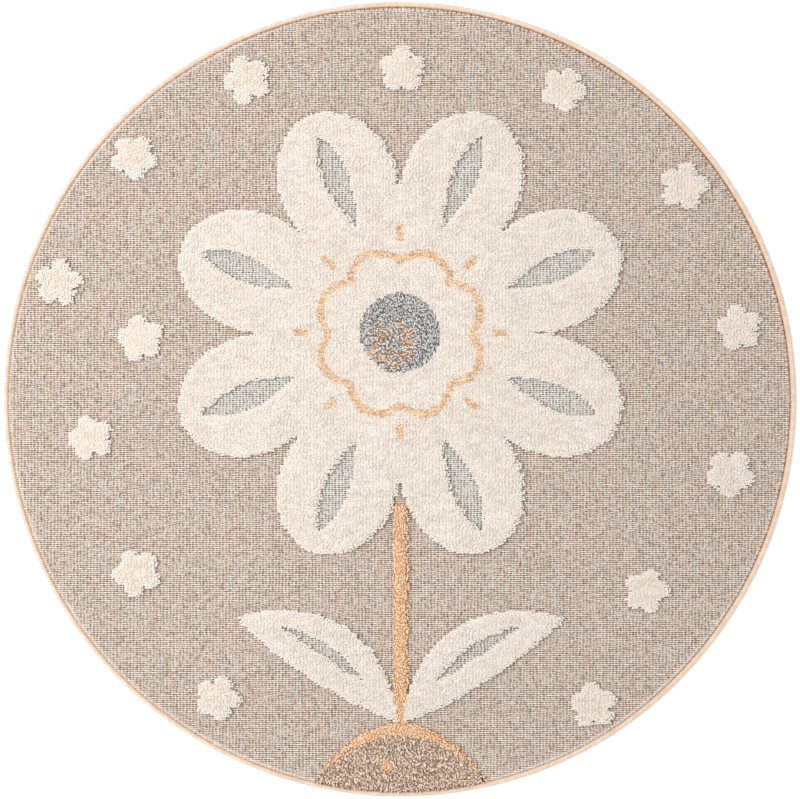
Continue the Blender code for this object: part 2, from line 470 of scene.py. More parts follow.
@dataclass(frozen=True)
class Loom:
    """The grid of stitches and tufts, and how the finished cloth strays from it, in millimetres."""

    pitch_x: float = 0.0050
    pitch_y: float = 0.0031
    columns: int = 242
    rows: int = 390
    stray_x: tuple[Ripple, Ripple] = (Ripple(0.7, 0.11, 21), Ripple(0.25, 0.03, 22))
    stray_y: tuple[Ripple, Ripple] = (Ripple(0.7, 0.12, 23), Ripple(0.20, 0.025, 24))
    stray_z: Ripple = Ripple(0.22, 0.07, 25)
    puckers: Puckers = Puckers(height=0.40, reach=0.555, width=0.032, bearing=3.25, spread=0.55, count=74)

    def place(self, column: Array, row: Array) -> tuple[Array, Array]:
        """The place of a point given in columns and rows from the grid's lower left corner."""
        return (column - self.columns / 2) * self.pitch_x, (row - self.rows / 2) * self.pitch_y

    def cells(self) -> tuple[Array, Array]:
        """Column and row of every cell's centre, as two arrays of rows by columns."""
        return np.meshgrid(np.arange(self.columns) + 0.5, np.arange(self.rows) + 0.5)

    def drift(self, x: Array, y: Array) -> tuple[Array, Array, Array]:
        """How far the cloth strays sideways and up: two scales of smooth noise, and puckers by the edge.

        Args:
            x: Places along X, in metres.
            y: Places along Y, of the same shape.

        Returns:
            The offsets along X, Y and Z, in metres.
        """
        dx = self.stray_x[0].at(x, y) + self.stray_x[1].at(x, y)
        dy = self.stray_y[0].at(x, y) + self.stray_y[1].at(x, y)
        dz = self.stray_z.at(x, y) + self.puckers.at(x, y)
        return MILLIMETRE * dx, MILLIMETRE * dy, MILLIMETRE * dz


class Surface(NamedTuple):
    """A surface made of triangles: its points, its faces, its maps and its data for each point.

    The maps hold a pair for each corner of each face.
    """

    points: Array
    faces: Array
    bake_map: Array
    weave_map: Array | None = None
    yarn: Array | None = None


def triangles_of(quads: Array) -> Array:
    """Each four-cornered face as two triangles: all the first ones, then all the second ones."""
    return np.concatenate((quads[:, [0, 1, 2]], quads[:, [0, 2, 3]]))


def tube_faces(rings: int, sides: int, looped: bool = False) -> tuple[Array, Array]:
    """The four-cornered faces between neighbouring rings of points, ring by ring.

    Each face has one side's point and the next one's, on a ring and on the ring after it.

    Args:
        rings: How many rings there are.
        sides: How many points each ring has.
        looped: True where the last ring also joins the first.

    Returns:
        The four points' numbers for each face, and the ring and side of each corner, counted on past the
        last one where a face closes the ring.
    """
    ring, side = np.meshgrid(np.arange(rings if looped else rings - 1), np.arange(sides), indexing="ij")
    first = np.column_stack((ring.ravel(), side.ravel()))
    corners = first[:, None] + np.array(((0, 0), (0, 1), (1, 1), (1, 0)))
    return corners[..., 0] % rings * sides + corners[..., 1] % sides, corners


def sheet_faces(low: Array, wide: int) -> tuple[Array, Array]:
    """Two triangles over each of some squares of a grid of points.

    Args:
        low: The number of each square's lower left point.
        wide: How many points a row of the grid has.

    Returns:
        The numbers of the points in use, and the triangles, numbered among those.
    """
    quads = np.column_stack((low, low + 1, low + wide + 1, low + wide))
    used, faces = np.unique(triangles_of(quads), return_inverse=True)
    return used, faces.reshape(-1, 3)


def joined(first: Surface, second: Surface) -> Surface:
    """Two surfaces as one.

    Args:
        first: A surface with data and no weave map.
        second: Another such surface.

    Returns:
        Both, with the second's points numbered on from the first's.
    """
    return Surface(
        np.concatenate((first.points, second.points)),
        np.concatenate((first.faces, second.faces + len(first.points))),
        np.concatenate((first.bake_map, second.bake_map)),
        None,
        np.concatenate((first.yarn, second.yarn)),
    )


def new_piece(name: str, surface: Surface, material: Material) -> Piece:
    """Puts a surface into a mesh object with its place in its mesh.

    Args:
        name: The piece's name.
        surface: Its points, faces, maps and data.
        material: Its finish.

    Returns:
        The new object, smooth shaded, riding on the rug.
    """
    mesh = bpy.data.meshes.new(name)
    mesh.vertices.add(len(surface.points))
    mesh.vertices.foreach_set("co", surface.points.astype(np.float32).ravel())
    mesh.loops.add(surface.faces.size)
    mesh.loops.foreach_set("vertex_index", surface.faces.astype(np.int32).ravel())
    mesh.polygons.add(len(surface.faces))
    mesh.polygons.foreach_set("loop_start", np.arange(0, surface.faces.size, 3, dtype=np.int32))
    mesh.update(calc_edges=True)
    for label, pairs in ((BAKE_MAP, surface.bake_map), (WEAVE_MAP, surface.weave_map)):
        if pairs is not None:
            layer = mesh.uv_layers.new(name=label)
            layer.data.foreach_set("uv", pairs.astype(np.float32).ravel())
    if surface.yarn is not None:
        data = mesh.attributes.new(YARN_DATA, "FLOAT_COLOR", "POINT")
        data.data.foreach_set("color", surface.yarn.astype(np.float32).ravel())
    mesh.shade_smooth()
    mesh.materials.append(material)
    piece = bpy.data.objects.new(name, mesh)
    bpy.context.scene.collection.objects.link(piece)
    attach(piece, "root")
    LOG.info("%s: %d triangles", name, len(surface.faces))
    return piece


# Finishes.

Colour = tuple[float, float, float]
Socket = bpy.types.NodeSocket
WHITE: Colour = (1.0, 1.0, 1.0)


def linear(red: int, green: int, blue: int) -> Colour:
    """A colour as linear light.

    Args:
        red: The red on the screen's scale of 0 to 255.
        green: The green on that scale.
        blue: The blue on that scale.

    Returns:
        The three as shares of full light.
    """

    def value(level: int) -> float:
        """One channel: a straight line near black, and a power of 2.4 above it."""
        share = level / 255
        return share / 12.92 if share <= 0.04045 else ((share + 0.055) / 1.055) ** 2.4

    return value(red), value(green), value(blue)


class Tree:
    """Adds nodes to a material's or a group's tree, and links them."""

    def __init__(self, tree: NodeTree) -> None:
        """Keeps the tree."""
        self.tree = tree

    def add(self, kind: str, **settings: object) -> bpy.types.Node:
        """A new node with its settings."""
        node = self.tree.nodes.new(kind)
        for name, value in settings.items():
            setattr(node, name, value)
        return node

    def feed(self, source: object, socket: Socket) -> None:
        """Links a socket to another, or sets its value.

        Args:
            source: A socket, or a value. A colour of three parts gets a fourth, 1.
            socket: The socket to feed.
        """
        if isinstance(source, Socket):
            self.tree.links.new(source, socket)
        elif isinstance(source, tuple) and socket.type == "RGBA":
            socket.default_value = (*source, 1.0)
        else:
            socket.default_value = source

    def math(self, operation: str, *values: object, clamp: bool = False) -> Socket:
        """A Math node's result."""
        node = self.add("ShaderNodeMath", operation=operation, use_clamp=clamp)
        for value, socket in zip(values, node.inputs):
            self.feed(value, socket)
        return node.outputs[0]

    def times(self, first: object, second: object) -> Socket:
        """Two values multiplied."""
        return self.math("MULTIPLY", first, second)

    def plus(self, first: object, second: object) -> Socket:
        """Two values added."""
        return self.math("ADD", first, second)

    def from_half(self, value: object) -> Socket:
        """How far a value lies from a half, either way."""
        return self.math("ABSOLUTE", self.math("SUBTRACT", value, 0.5))

    def vector(self, operation: str, *values: object) -> Socket:
        """A Vector Math node's vector."""
        node = self.add("ShaderNodeVectorMath", operation=operation)
        for value, socket in zip(values, node.inputs):
            self.feed(value, socket)
        return node.outputs[0]

    def scaled(self, vector: object, scale: Socket) -> Socket:
        """A vector multiplied by a value."""
        result = self.vector("SCALE", vector)
        self.feed(scale, result.node.inputs["Scale"])
        return result

    def remap(
        self, value: object, low: float, high: float, to_low: float = 0.0, to_high: float = 1.0
    ) -> Socket:
        """A value eased from one range to another, and held at its ends.

        Args:
            value: The value.
            low: Where its range starts.
            high: Where its range ends.
            to_low: The result at low.
            to_high: The result at high.

        Returns:
            The result.
        """
        node = self.add("ShaderNodeMapRange", interpolation_type="SMOOTHSTEP")
        names = ("Value", "From Min", "From Max", "To Min", "To Max")
        for given, name in zip((value, low, high, to_low, to_high), names):
            self.feed(given, node.inputs[name])
        return node.outputs[0]

    def blend(self, share: object, first: object, second: object, mode: str = "MIX") -> Socket:
        """Two colours mixed."""
        node = self.add("ShaderNodeMix", data_type="RGBA", blend_type=mode, clamp_factor=True)
        for given, socket in ((share, node.inputs[0]), (first, node.inputs[6]), (second, node.inputs[7])):
            self.feed(given, socket)
        return node.outputs[2]

    def ramp(self, shade: Socket, stops: tuple[float, ...], colours: tuple[Colour, ...]) -> Socket:
        """A colour that runs through three colours as the shade passes three stops."""
        low = self.blend(self.remap(shade, stops[0], stops[1]), colours[0], colours[1])
        return self.blend(self.remap(shade, stops[1], stops[2]), low, colours[2])

    def noise(self, vector: object, scale: float, detail: float, roughness: float = 0.5) -> Socket:
        """A Noise texture's value."""
        node = self.add("ShaderNodeTexNoise", noise_dimensions="3D")
        given = {"Vector": vector, "Scale": scale, "Detail": detail, "Roughness": roughness}
        for name, value in given.items():
            self.feed(value, node.inputs[name])
        return node.outputs["Fac"]

    def streaks(self, place: object, per_unit: tuple[float, float, float], detail: float) -> Socket:
        """Noise whose grains are one over per_unit long along each axis."""
        return self.noise(self.vector("MULTIPLY", place, per_unit), 1.0, detail)

    def white_noise(self, name: str, value: Socket) -> Socket:
        """A number by chance for each value of a number (W) or a vector (Vector)."""
        node = self.add("ShaderNodeTexWhiteNoise", noise_dimensions="1D" if name == "W" else "3D")
        self.feed(value, node.inputs[name])
        return node.outputs["Value"]

    def split(self, vector: object) -> tuple[Socket, ...]:
        """The three parts of a vector."""
        node = self.add("ShaderNodeSeparateXYZ")
        self.feed(vector, node.inputs[0])
        return tuple(node.outputs)

    def use(self, group: NodeTree, **inputs: object) -> bpy.types.bpy_prop_collection:
        """Places a group, feeds its inputs (an underscore stands for a space), and gives its outputs."""
        node = self.add("ShaderNodeGroup", node_tree=group)
        for name, value in inputs.items():
            self.feed(value, node.inputs[name.replace("_", " ")])
        return node.outputs


class GroupTree(Tree):
    """A node group with named inputs and outputs."""

    def __init__(self, name: str, inputs: dict[str, str], outputs: dict[str, str]) -> None:
        """Makes the group and its sockets.

        Args:
            name: The group's name.
            inputs: Each input's kind, by its name.
            outputs: Each output's kind, by its name.
        """
        super().__init__(bpy.data.node_groups.new(name, "ShaderNodeTree"))
        for in_out, sockets in (("INPUT", inputs), ("OUTPUT", outputs)):
            for label, kind in sockets.items():
                self.tree.interface.new_socket(name=label, in_out=in_out, socket_type=f"NodeSocket{kind}")
        self.given = self.add("NodeGroupInput").outputs
        self.result = self.add("NodeGroupOutput").inputs


class YarnTree(Tree):
    """The tree of a dry yarn's material."""

    def __init__(self, name: str) -> None:
        """Makes the material."""
        self.material = bpy.data.materials.new(name)
        self.material.use_nodes = True
        super().__init__(self.material.node_tree)

    def place(self) -> Socket:
        """The place on the piece, in metres."""
        return self.add("ShaderNodeTexCoord").outputs["Object"]

    def weave(self) -> Socket:
        """The piece's own weave map."""
        return self.add("ShaderNodeUVMap", uv_map=WEAVE_MAP).outputs["UV"]

    def yarn_data(self) -> tuple[Socket, ...]:
        """The three numbers that a piece holds for each of its points."""
        return self.split(self.add("ShaderNodeAttribute", attribute_name=YARN_DATA).outputs["Vector"])

    def bump(self, height: Socket, strength: float, millimetres: float) -> Socket:
        """A Bump node's normal.

        Args:
            height: The height, from 0 to 1 or so.
            strength: How much of the bump to use.
            millimetres: How high a height of 1 stands.

        Returns:
            The normal.
        """
        node = self.add("ShaderNodeBump")
        node.inputs["Strength"].default_value = strength
        node.inputs["Distance"].default_value = millimetres * MILLIMETRE
        self.feed(height, node.inputs["Height"])
        return node.outputs["Normal"]

    def dressed(
        self, colour: Socket, roughness: object, normal: Socket, sheen: float, tint: Colour
    ) -> Material:
        """Feeds the Principled BSDF, whose fixed values stand on its own sockets.

        Args:
            colour: The yarn's colour.
            roughness: Its roughness, as a socket or a number.
            normal: Its normal.
            sheen: The weight of its sheen.
            tint: The colour of its sheen.

        Returns:
            The material.
        """
        for name, value in (
            ("Base Color", colour),
            ("Roughness", roughness),
            ("Normal", normal),
            ("Metallic", 0.0),
            ("Specular IOR Level", 0.18),
            ("Sheen Weight", sheen),
            ("Sheen Roughness", 0.55),
            ("Sheen Tint", tint),
        ):
            self.feed(value, self.tree.nodes["Principled BSDF"].inputs[name])
        return self.material


def stitch_grid_group() -> NodeTree:
    """Where a place lies among the stitches: in the gap between rows, in a hole, or on a rib.

    Noise shifts the columns and the rows by a little. A hole is an ellipse about the middle of a stitch's
    lower edge.

    Returns:
        A group from Weave (columns and rows) to Gap, Hole, Rib, Chance and Hole Chance. Gap is 1 between
        two rows, Hole is 1 there in the middle of a stitch, Rib is 1 between two columns, and the chances
        differ by stitch and by hole.
    """
    tree = GroupTree(
        "stitch_grid",
        {"Weave": "Vector", "Hole Width": "Float", "Hole Height": "Float", "Gap Height": "Float"},
        dict.fromkeys(("Gap", "Hole", "Rib", "Chance", "Hole Chance"), "Float"),
    )
    weave = tree.given["Weave"]
    column, row, _ = tree.split(weave)
    column_shift, row_shift = 0.17, 0.12
    wander = tree.streaks(weave, (0.45, 0.35, 1.0), 1.0)
    column = tree.plus(column, tree.remap(wander, 0.25, 0.75, -column_shift, column_shift))
    waver = tree.streaks(weave, (0.30, 0.22, 3.0), 1.0)
    row = tree.plus(row, tree.remap(waver, 0.25, 0.75, -row_shift, row_shift))
    across = tree.from_half(tree.math("FRACT", column))
    up = tree.from_half(tree.math("FRACT", tree.plus(row, 0.5)))
    wide = tree.math("DIVIDE", across, tree.given["Hole Width"])
    high = tree.math("DIVIDE", up, tree.given["Hole Height"])
    far = tree.plus(tree.math("POWER", wide, 2.0), tree.math("POWER", high, 2.0))
    off_row = tree.math("DIVIDE", up, tree.given["Gap Height"])
    stitch = tree.vector("FLOOR", weave)
    between = tree.vector("FLOOR", tree.vector("ADD", weave, (0.0, 0.5, 7.0)))
    tree.feed(tree.remap(far, 0.25, 1.0, 1.0, 0.0), tree.result["Hole"])
    tree.feed(tree.remap(off_row, 0.3, 1.0, 1.0, 0.0), tree.result["Gap"])
    tree.feed(tree.remap(across, 0.28, 0.46), tree.result["Rib"])
    tree.feed(tree.white_noise("Vector", stitch), tree.result["Chance"])
    tree.feed(tree.white_noise("Vector", between), tree.result["Hole Chance"])
    return tree.tree


def heather_group() -> NodeTree:
    """The uneven shade of spun yarn: streaks along the rows and the columns, and soft patches.

    Returns:
        A group from Place to Shade and Warmth, both about 0.5 on average, Ribbing, which is 1 where the ribs
        between columns stand out, and Grain, a fine noise from 0 to 1.
    """
    outputs = dict.fromkeys(("Shade", "Warmth", "Ribbing", "Grain"), "Float")
    tree = GroupTree("heather", {"Place": "Vector"}, outputs)
    place = tree.given["Place"]
    rows = tree.streaks(place, (95.0, 470.0, 1.0), 0.0)
    columns = tree.streaks(place, (420.0, 75.0, 1.0), 0.0)
    patches = tree.streaks(place, (30.0, 42.0, 1.0), 2.0)
    streaked = tree.plus(tree.times(rows, 0.56), tree.times(columns, 0.46))
    shade = tree.plus(streaked, tree.times(patches, 0.04))
    grain = tree.streaks(place, (430.0, 470.0, 1.0), 0.0)
    ribbing = tree.streaks(place, (85.0, 24.0, 5.0), 2.0)
    warm_rows = tree.streaks(place, (48.0, 190.0, 2.0), 2.0)
    warm_columns = tree.streaks(place, (170.0, 34.0, 3.0), 2.0)
    warmth = tree.times(tree.plus(warm_rows, warm_columns), 0.5)
    tree.feed(tree.remap(shade, 0.44, 0.62), tree.result["Shade"])
    tree.feed(tree.remap(warmth, 0.40, 0.60), tree.result["Warmth"])
    tree.feed(tree.remap(ribbing, 0.44, 0.62), tree.result["Ribbing"])
    tree.feed(tree.remap(grain, 0.25, 0.75), tree.result["Grain"])
    return tree.tree


def fibre_group() -> NodeTree:
    """Fine fibres: two sizes of noise, as a height and as a faint change of shade.

    Returns:
        A group from Place and Coarseness to Height and Shade.
    """
    inputs, outputs = {"Place": "Vector", "Coarseness": "Float"}, {"Height": "Float", "Shade": "Float"}
    tree = GroupTree("fibres", inputs, outputs)
    scaled = tree.scaled(tree.given["Place"], tree.given["Coarseness"])
    fine = tree.noise(scaled, 1400.0, 2.0, 0.6)
    strands = tree.noise(tree.vector("MULTIPLY", scaled, (1.0, 0.55, 0.35)), 620.0, 2.0, 0.5)
    tree.feed(tree.plus(tree.times(fine, 0.5), tree.times(strands, 0.5)), tree.result["Height"])
    tree.feed(tree.remap(strands, 0.35, 0.65), tree.result["Shade"])
    return tree.tree


def nap_group() -> NodeTree:
    """The way a dense nap faces: its bumps, and the upward direction that its many tips share.

    Returns:
        A group from Bumps and Evenness to Normal, which is the two mixed by Evenness.
    """
    tree = GroupTree("nap", {"Bumps": "Vector", "Evenness": "Float"}, {"Normal": "Vector"})
    settings = {"vector_type": "NORMAL", "convert_from": "OBJECT", "convert_to": "WORLD"}
    upward = tree.add("ShaderNodeVectorTransform", **settings)
    upward.inputs[0].default_value = (0.0, 0.0, 1.0)
    bumps = tree.scaled(tree.given["Bumps"], tree.math("SUBTRACT", 1.0, tree.given["Evenness"]))
    even = tree.scaled(upward.outputs[0], tree.given["Evenness"])
    tree.feed(tree.vector("NORMALIZE", tree.vector("ADD", bumps, even)), tree.result["Normal"])
    return tree.tree


@dataclass(frozen=True)
class Groups:
    """The node groups that several finishes share."""

    stitch_grid: NodeTree
    heather: NodeTree
    fibres: NodeTree
    nap: NodeTree

    @classmethod
    def made(cls) -> "Groups":
        """Builds each group once."""
        return cls(stitch_grid_group(), heather_group(), fibre_group(), nap_group())


@dataclass(frozen=True)
class FlatFinish:
    """Flat-woven yarn: heathered stitches, with painted shade in the gaps between their rows and darker
    painted shadow in the holes in the gaps.

    The sizes are shares of a stitch. drawn is the colour beside the binding, where the sewing draws the
    cloth tight.
    """

    name: str
    dark: Colour
    middle: Colour
    light: Colour
    warm: Colour
    cool: Colour
    # gap and hole are painted shade: the colours of the shadow in the gaps between rows and in the holes.
    gap: Colour
    hole: Colour
    gap_shade_strength: float
    hole_shade_strength: float
    tint_strength: float
    chance_share: float
    hole_width: float = 0.44
    hole_height: float = 0.38
    gap_height: float = 0.30
    stops: tuple[float, float, float] = (0.05, 0.50, 0.95)
    rib_least: float = 0.06
    rib_most: float = 0.24
    grain: Colour = linear(203, 196, 190)
    grain_strength: float = 0.72
    fibre_strength: float = 0.16
    least_gap: float = 0.85
    least_hole: float = 0.40
    drawn: Colour = linear(255, 246, 236)
    drawn_strength: float = 0.36
    sheen: float = 0.12

    def material(self, groups: Groups) -> Material:
        """The stitches run dark, middle, light with the heather and by chance, under the painted shade of the
        gaps and holes.

        Args:
            groups: The shared node groups.

        Returns:
            The material.
        """
        tree = YarnTree(self.name)
        place = tree.place()
        grid = tree.use(
            groups.stitch_grid,
            Weave=tree.weave(),
            Hole_Width=self.hole_width,
            Hole_Height=self.hole_height,
            Gap_Height=self.gap_height,
        )
        heather = tree.use(groups.heather, Place=place)
        fibres = tree.use(groups.fibres, Place=place, Coarseness=1.0)
        spun = tree.times(heather["Shade"], 1.0 - self.chance_share)
        shade = tree.plus(spun, tree.times(grid["Chance"], self.chance_share))
        colour = tree.ramp(shade, self.stops, (self.dark, self.middle, self.light))
        colour = tree.blend(self.tint_strength, colour, tree.blend(heather["Warmth"], self.cool, self.warm))
        rib = tree.times(grid["Rib"], tree.remap(heather["Ribbing"], 0.0, 1.0, self.rib_least, self.rib_most))
        colour = tree.blend(rib, colour, self.light)
        colour = tree.blend(tree.times(heather["Grain"], self.grain_strength), colour, self.grain, "MULTIPLY")
        colour = tree.blend(tree.times(fibres["Shade"], self.fibre_strength), colour, self.dark, "MULTIPLY")
        # Painted shade in the gaps between rows, weaker over the ribs, then painted shadow in the holes.
        open_gap = tree.times(grid["Gap"], tree.math("SUBTRACT", 1.0, rib))
        loose = tree.times(tree.remap(grid["Hole Chance"], 0.0, 1.0, self.least_gap, 1.0), self.gap_shade_strength)
        colour = tree.blend(tree.times(open_gap, loose), colour, self.gap)
        hole = tree.times(grid["Hole"], tree.remap(grid["Hole Chance"], 0.0, 0.8, self.least_hole, 1.0))
        colour = tree.blend(tree.times(hole, self.hole_shade_strength), colour, self.hole)
        drawn, _, _ = tree.yarn_data()
        colour = tree.blend(tree.times(drawn, self.drawn_strength), colour, self.drawn)
        roughness = tree.remap(fibres["Shade"], 0.0, 1.0, 0.82, 0.97)
        return tree.dressed(colour, roughness, tree.bump(fibres["Height"], 0.5, 0.3), self.sheen, self.light)


@dataclass(frozen=True)
class PileFinish:
    """Cut pile: tufts of slightly different shades, with painted shade deeper down between them and a painted
    highlight at the rim.

    evenness is how far the nap faces upwards as one.
    """

    name: str
    dark: Colour
    middle: Colour
    light: Colour
    # root is painted shade: the colour of the shadow deep between the tufts.
    root: Colour
    # rim is a painted highlight: the paler colour where the sides of the nap catch the light at the field's
    # edge.
    rim: Colour
    root_shade_strength: float
    spread: float
    rim_highlight_strength: float = 0.3
    coarseness: float = 0.8
    sheen: float = 0.15
    evenness: float = 0.25
    rim_evenness: float = 0.35
    heather_share: float = 0.25
    fibre_strength: float = 0.14
    even_from: float = 0.35
    even_to: float = 0.95

    def material(self, groups: Groups) -> Material:
        """Each tuft's shade is its own number, softened by heather, and its foot fades to the root's colour,
        a painted shade; its rim takes a painted highlight.

        Args:
            groups: The shared node groups.

        Returns:
            The material.
        """
        tree = YarnTree(self.name)
        place = tree.place()
        chance, tip, rim = tree.yarn_data()
        heather = tree.use(groups.heather, Place=place)
        fibres = tree.use(groups.fibres, Place=place, Coarseness=self.coarseness)
        off = tree.times(tree.math("SUBTRACT", chance, 0.5), self.spread)
        soft = tree.times(tree.math("SUBTRACT", heather["Shade"], 0.5), self.heather_share * self.spread)
        shade = tree.math("ADD", tree.plus(off, soft), 0.5, clamp=True)
        colour = tree.ramp(shade, (0.0, 0.5, 1.0), (self.dark, self.middle, self.light))
        # Painted highlight: paler towards the rim of the field.
        colour = tree.blend(tree.times(rim, self.rim_highlight_strength), colour, self.rim)
        colour = tree.blend(tree.times(fibres["Shade"], self.fibre_strength), colour, self.dark, "MULTIPLY")
        # Painted shade: the lower a point lies on its tuft, the more it takes of the root's shade colour.
        foot = tree.times(tree.remap(tip, 0.0, 1.0, 1.0, 0.0), self.root_shade_strength)
        colour = tree.blend(foot, colour, self.root)
        evenness = tree.remap(rim, 0.0, 1.0, self.evenness, self.rim_evenness)
        evenness = tree.times(evenness, tree.remap(tip, self.even_from, self.even_to))
        nap = tree.use(groups.nap, Bumps=tree.bump(fibres["Height"], 0.6, 0.5), Evenness=evenness)
        roughness = tree.remap(fibres["Shade"], 0.0, 1.0, 0.86, 1.0)
        return tree.dressed(colour, roughness, nap["Normal"], self.sheen, self.light)


@dataclass(frozen=True)
class BackingFinish:
    """The cloth behind the face: plain tan yarn, woven over and under by sine waves in a bump."""

    name: str = "tan_backing"
    dark: Colour = linear(184, 160, 134)
    light: Colour = linear(214, 194, 168)
    # gap is painted shade: the colour of the shadow between the yarns.
    gap: Colour = linear(128, 104, 82)
    pitch_x: float = 0.005
    pitch_y: float = 0.0031

    def material(self, groups: Groups) -> Material:
        """The yarn's shade follows the heather, with painted shade where both waves run low.

        Args:
            groups: The shared node groups.

        Returns:
            The material.
        """
        tree = YarnTree(self.name)
        place = tree.place()
        x, y, _ = tree.split(place)
        over = tree.math("SINE", tree.times(x, 2 * math.pi / self.pitch_x))
        under = tree.math("SINE", tree.times(y, 2 * math.pi / self.pitch_y))
        height = tree.times(over, under)
        fibres = tree.use(groups.fibres, Place=place, Coarseness=0.8)
        heather = tree.use(groups.heather, Place=place)
        colour = tree.blend(heather["Shade"], self.dark, self.light)
        # Painted shade in the hollows of the weave.
        colour = tree.blend(tree.remap(height, -1.0, 0.2, 0.6, 0.0), colour, self.gap)
        relief = tree.plus(height, tree.times(fibres["Height"], 0.5))
        return tree.dressed(colour, 0.95, tree.bump(relief, 0.8, 0.5), 0.05, WHITE)


@dataclass(frozen=True)
class OverlockFinish:
    """Overlock yarn: pale peach on top, paler and greyer outside, partly its own yarn and partly painted
    shade on the side that turns down, and painted shade where it turns into the cloth.
    """

    name: str = "overlock_yarn"
    top: tuple[Colour, Colour] = (linear(226, 200, 178), linear(235, 212, 193))
    # outer is partly a paler yarn and partly painted shade on the side that turns down.
    outer: tuple[Colour, Colour] = (linear(222, 211, 200), linear(232, 222, 212))
    top_ends: tuple[float, float] = (0.77, 0.87)
    patch: Colour = linear(216, 180, 146)
    patch_strength: float = 0.30
    # The groove colour is painted shade between the turns of yarn.
    groove_shade: Colour = linear(208, 174, 146)
    groove_shade_strength: float = 0.35
    # inner is painted shade where the binding turns down into the cloth.
    inner: Colour = linear(206, 170, 136)
    inner_shade_ends: tuple[float, float] = (0.90, 0.97)
    inner_shade_strength: float = 0.50
    fibre: Colour = linear(206, 156, 116)
    tint: Colour = linear(255, 235, 215)

    def material(self, groups: Groups) -> Material:
        """Each turn of yarn has a shade by chance, with painted shade in the grooves between the turns.

        The weave map runs once round the section, from the inner edge under the rug (0) to the one on top
        (1), and counts the turns of yarn along the rug's edge.

        Args:
            groups: The shared node groups.

        Returns:
            The material.
        """
        tree = YarnTree(self.name)
        place = tree.place()
        along, around, _ = tree.split(tree.weave())
        chance = tree.white_noise("W", tree.math("FLOOR", along))
        fibres = tree.use(groups.fibres, Place=place, Coarseness=0.9)
        top, outer = tree.blend(chance, *self.top), tree.blend(chance, *self.outer)
        # Partly a paler yarn and partly painted shade on the outer side.
        colour = tree.blend(tree.remap(around, *self.top_ends, 1.0, 0.0), top, outer)
        patches = tree.remap(tree.noise(place, 90.0, 1.0), 0.40, 0.62, 0.0, self.patch_strength)
        colour = tree.blend(patches, colour, self.patch)
        # Painted shade in the grooves between the turns.
        groove_shade = tree.remap(tree.from_half(tree.math("FRACT", along)), 0.30, 0.5, 0.0, self.groove_shade_strength)
        colour = tree.blend(groove_shade, colour, self.groove_shade)
        # Painted shade where the binding turns into the cloth.
        inner = tree.remap(around, *self.inner_shade_ends, 0.0, self.inner_shade_strength)
        colour = tree.blend(inner, colour, self.inner)
        colour = tree.blend(tree.times(fibres["Shade"], 0.12), colour, self.fibre, "MULTIPLY")
        roughness = tree.remap(fibres["Shade"], 0.0, 1.0, 0.62, 0.82)
        return tree.dressed(colour, roughness, tree.bump(fibres["Height"], 0.5, 0.3), 0.12, self.tint)


@dataclass(frozen=True)
class ThreadFinish:
    """Brown sewing thread, in a pale and a deep shade, with painted light making it paler along one side of
    the rug.
    """

    name: str = "needle_thread_brown"
    # deep and pale are shaded and lit copies of the thread's colours: painted light from one side.
    deep: tuple[Colour, Colour] = (linear(128, 92, 62), linear(184, 144, 104))
    pale: tuple[Colour, Colour] = (linear(196, 158, 122), linear(226, 192, 158))
    fibre: Colour = linear(170, 130, 96)
    tint: Colour = linear(230, 200, 170)
    shaded_toward: tuple[float, float] = (0.82, 0.57)
    reach: float = 0.45

    def material(self, groups: Groups) -> Material:
        """Patches of each shade, with painted light that makes them paler the further a place lies back
        against the given direction.

        Args:
            groups: The shared node groups.

        Returns:
            The material.
        """
        tree = YarnTree(self.name)
        place = tree.place()
        fibres = tree.use(groups.fibres, Place=place, Coarseness=1.2)
        patches = tree.remap(tree.noise(place, 130.0, 1.0), 0.36, 0.64)
        x, y, _ = tree.split(place)
        along = tree.plus(tree.times(x, self.shaded_toward[0]), tree.times(y, self.shaded_toward[1]))
        # Painted light: 1 on the lit side of the rug, 0 on the shaded side.
        painted_light = tree.remap(along, -self.reach, self.reach, 1.0, 0.0)
        shades = [tree.blend(painted_light, deep, pale) for deep, pale in zip(self.deep, self.pale)]
        colour = tree.blend(patches, *shades)
        colour = tree.blend(tree.times(fibres["Shade"], 0.3), colour, self.fibre, "MULTIPLY")
        roughness = tree.remap(fibres["Shade"], 0.0, 1.0, 0.55, 0.75)
        return tree.dressed(colour, roughness, tree.bump(fibres["Height"], 0.5, 0.2), 0.1, self.tint)


class Flat(Enum):
    """The looks of the flat weave."""

    GROUND = FlatFinish(
        name="heathered_ground",
        dark=linear(203, 184, 168),
        middle=linear(252, 241, 231),
        light=linear(255, 251, 244),
        warm=linear(228, 195, 168),
        cool=linear(201, 201, 206),
        # gap and hole are painted shade colours.
        gap=linear(147, 115, 90),
        hole=linear(48, 28, 14),
        gap_shade_strength=0.82,
        hole_shade_strength=0.86,
        tint_strength=0.25,
        chance_share=0.42,
    )
    SLIT = FlatFinish(
        name="blue_grey_slits",
        dark=linear(219, 217, 213),
        middle=linear(247, 243, 238),
        light=linear(255, 251, 246),
        warm=linear(222, 214, 204),
        cool=linear(208, 216, 221),
        # gap and hole are painted shade colours.
        gap=linear(116, 111, 101),
        hole=linear(60, 54, 46),
        gap_shade_strength=0.34,
        hole_shade_strength=0.98,
        tint_strength=0.30,
        chance_share=0.30,
    )


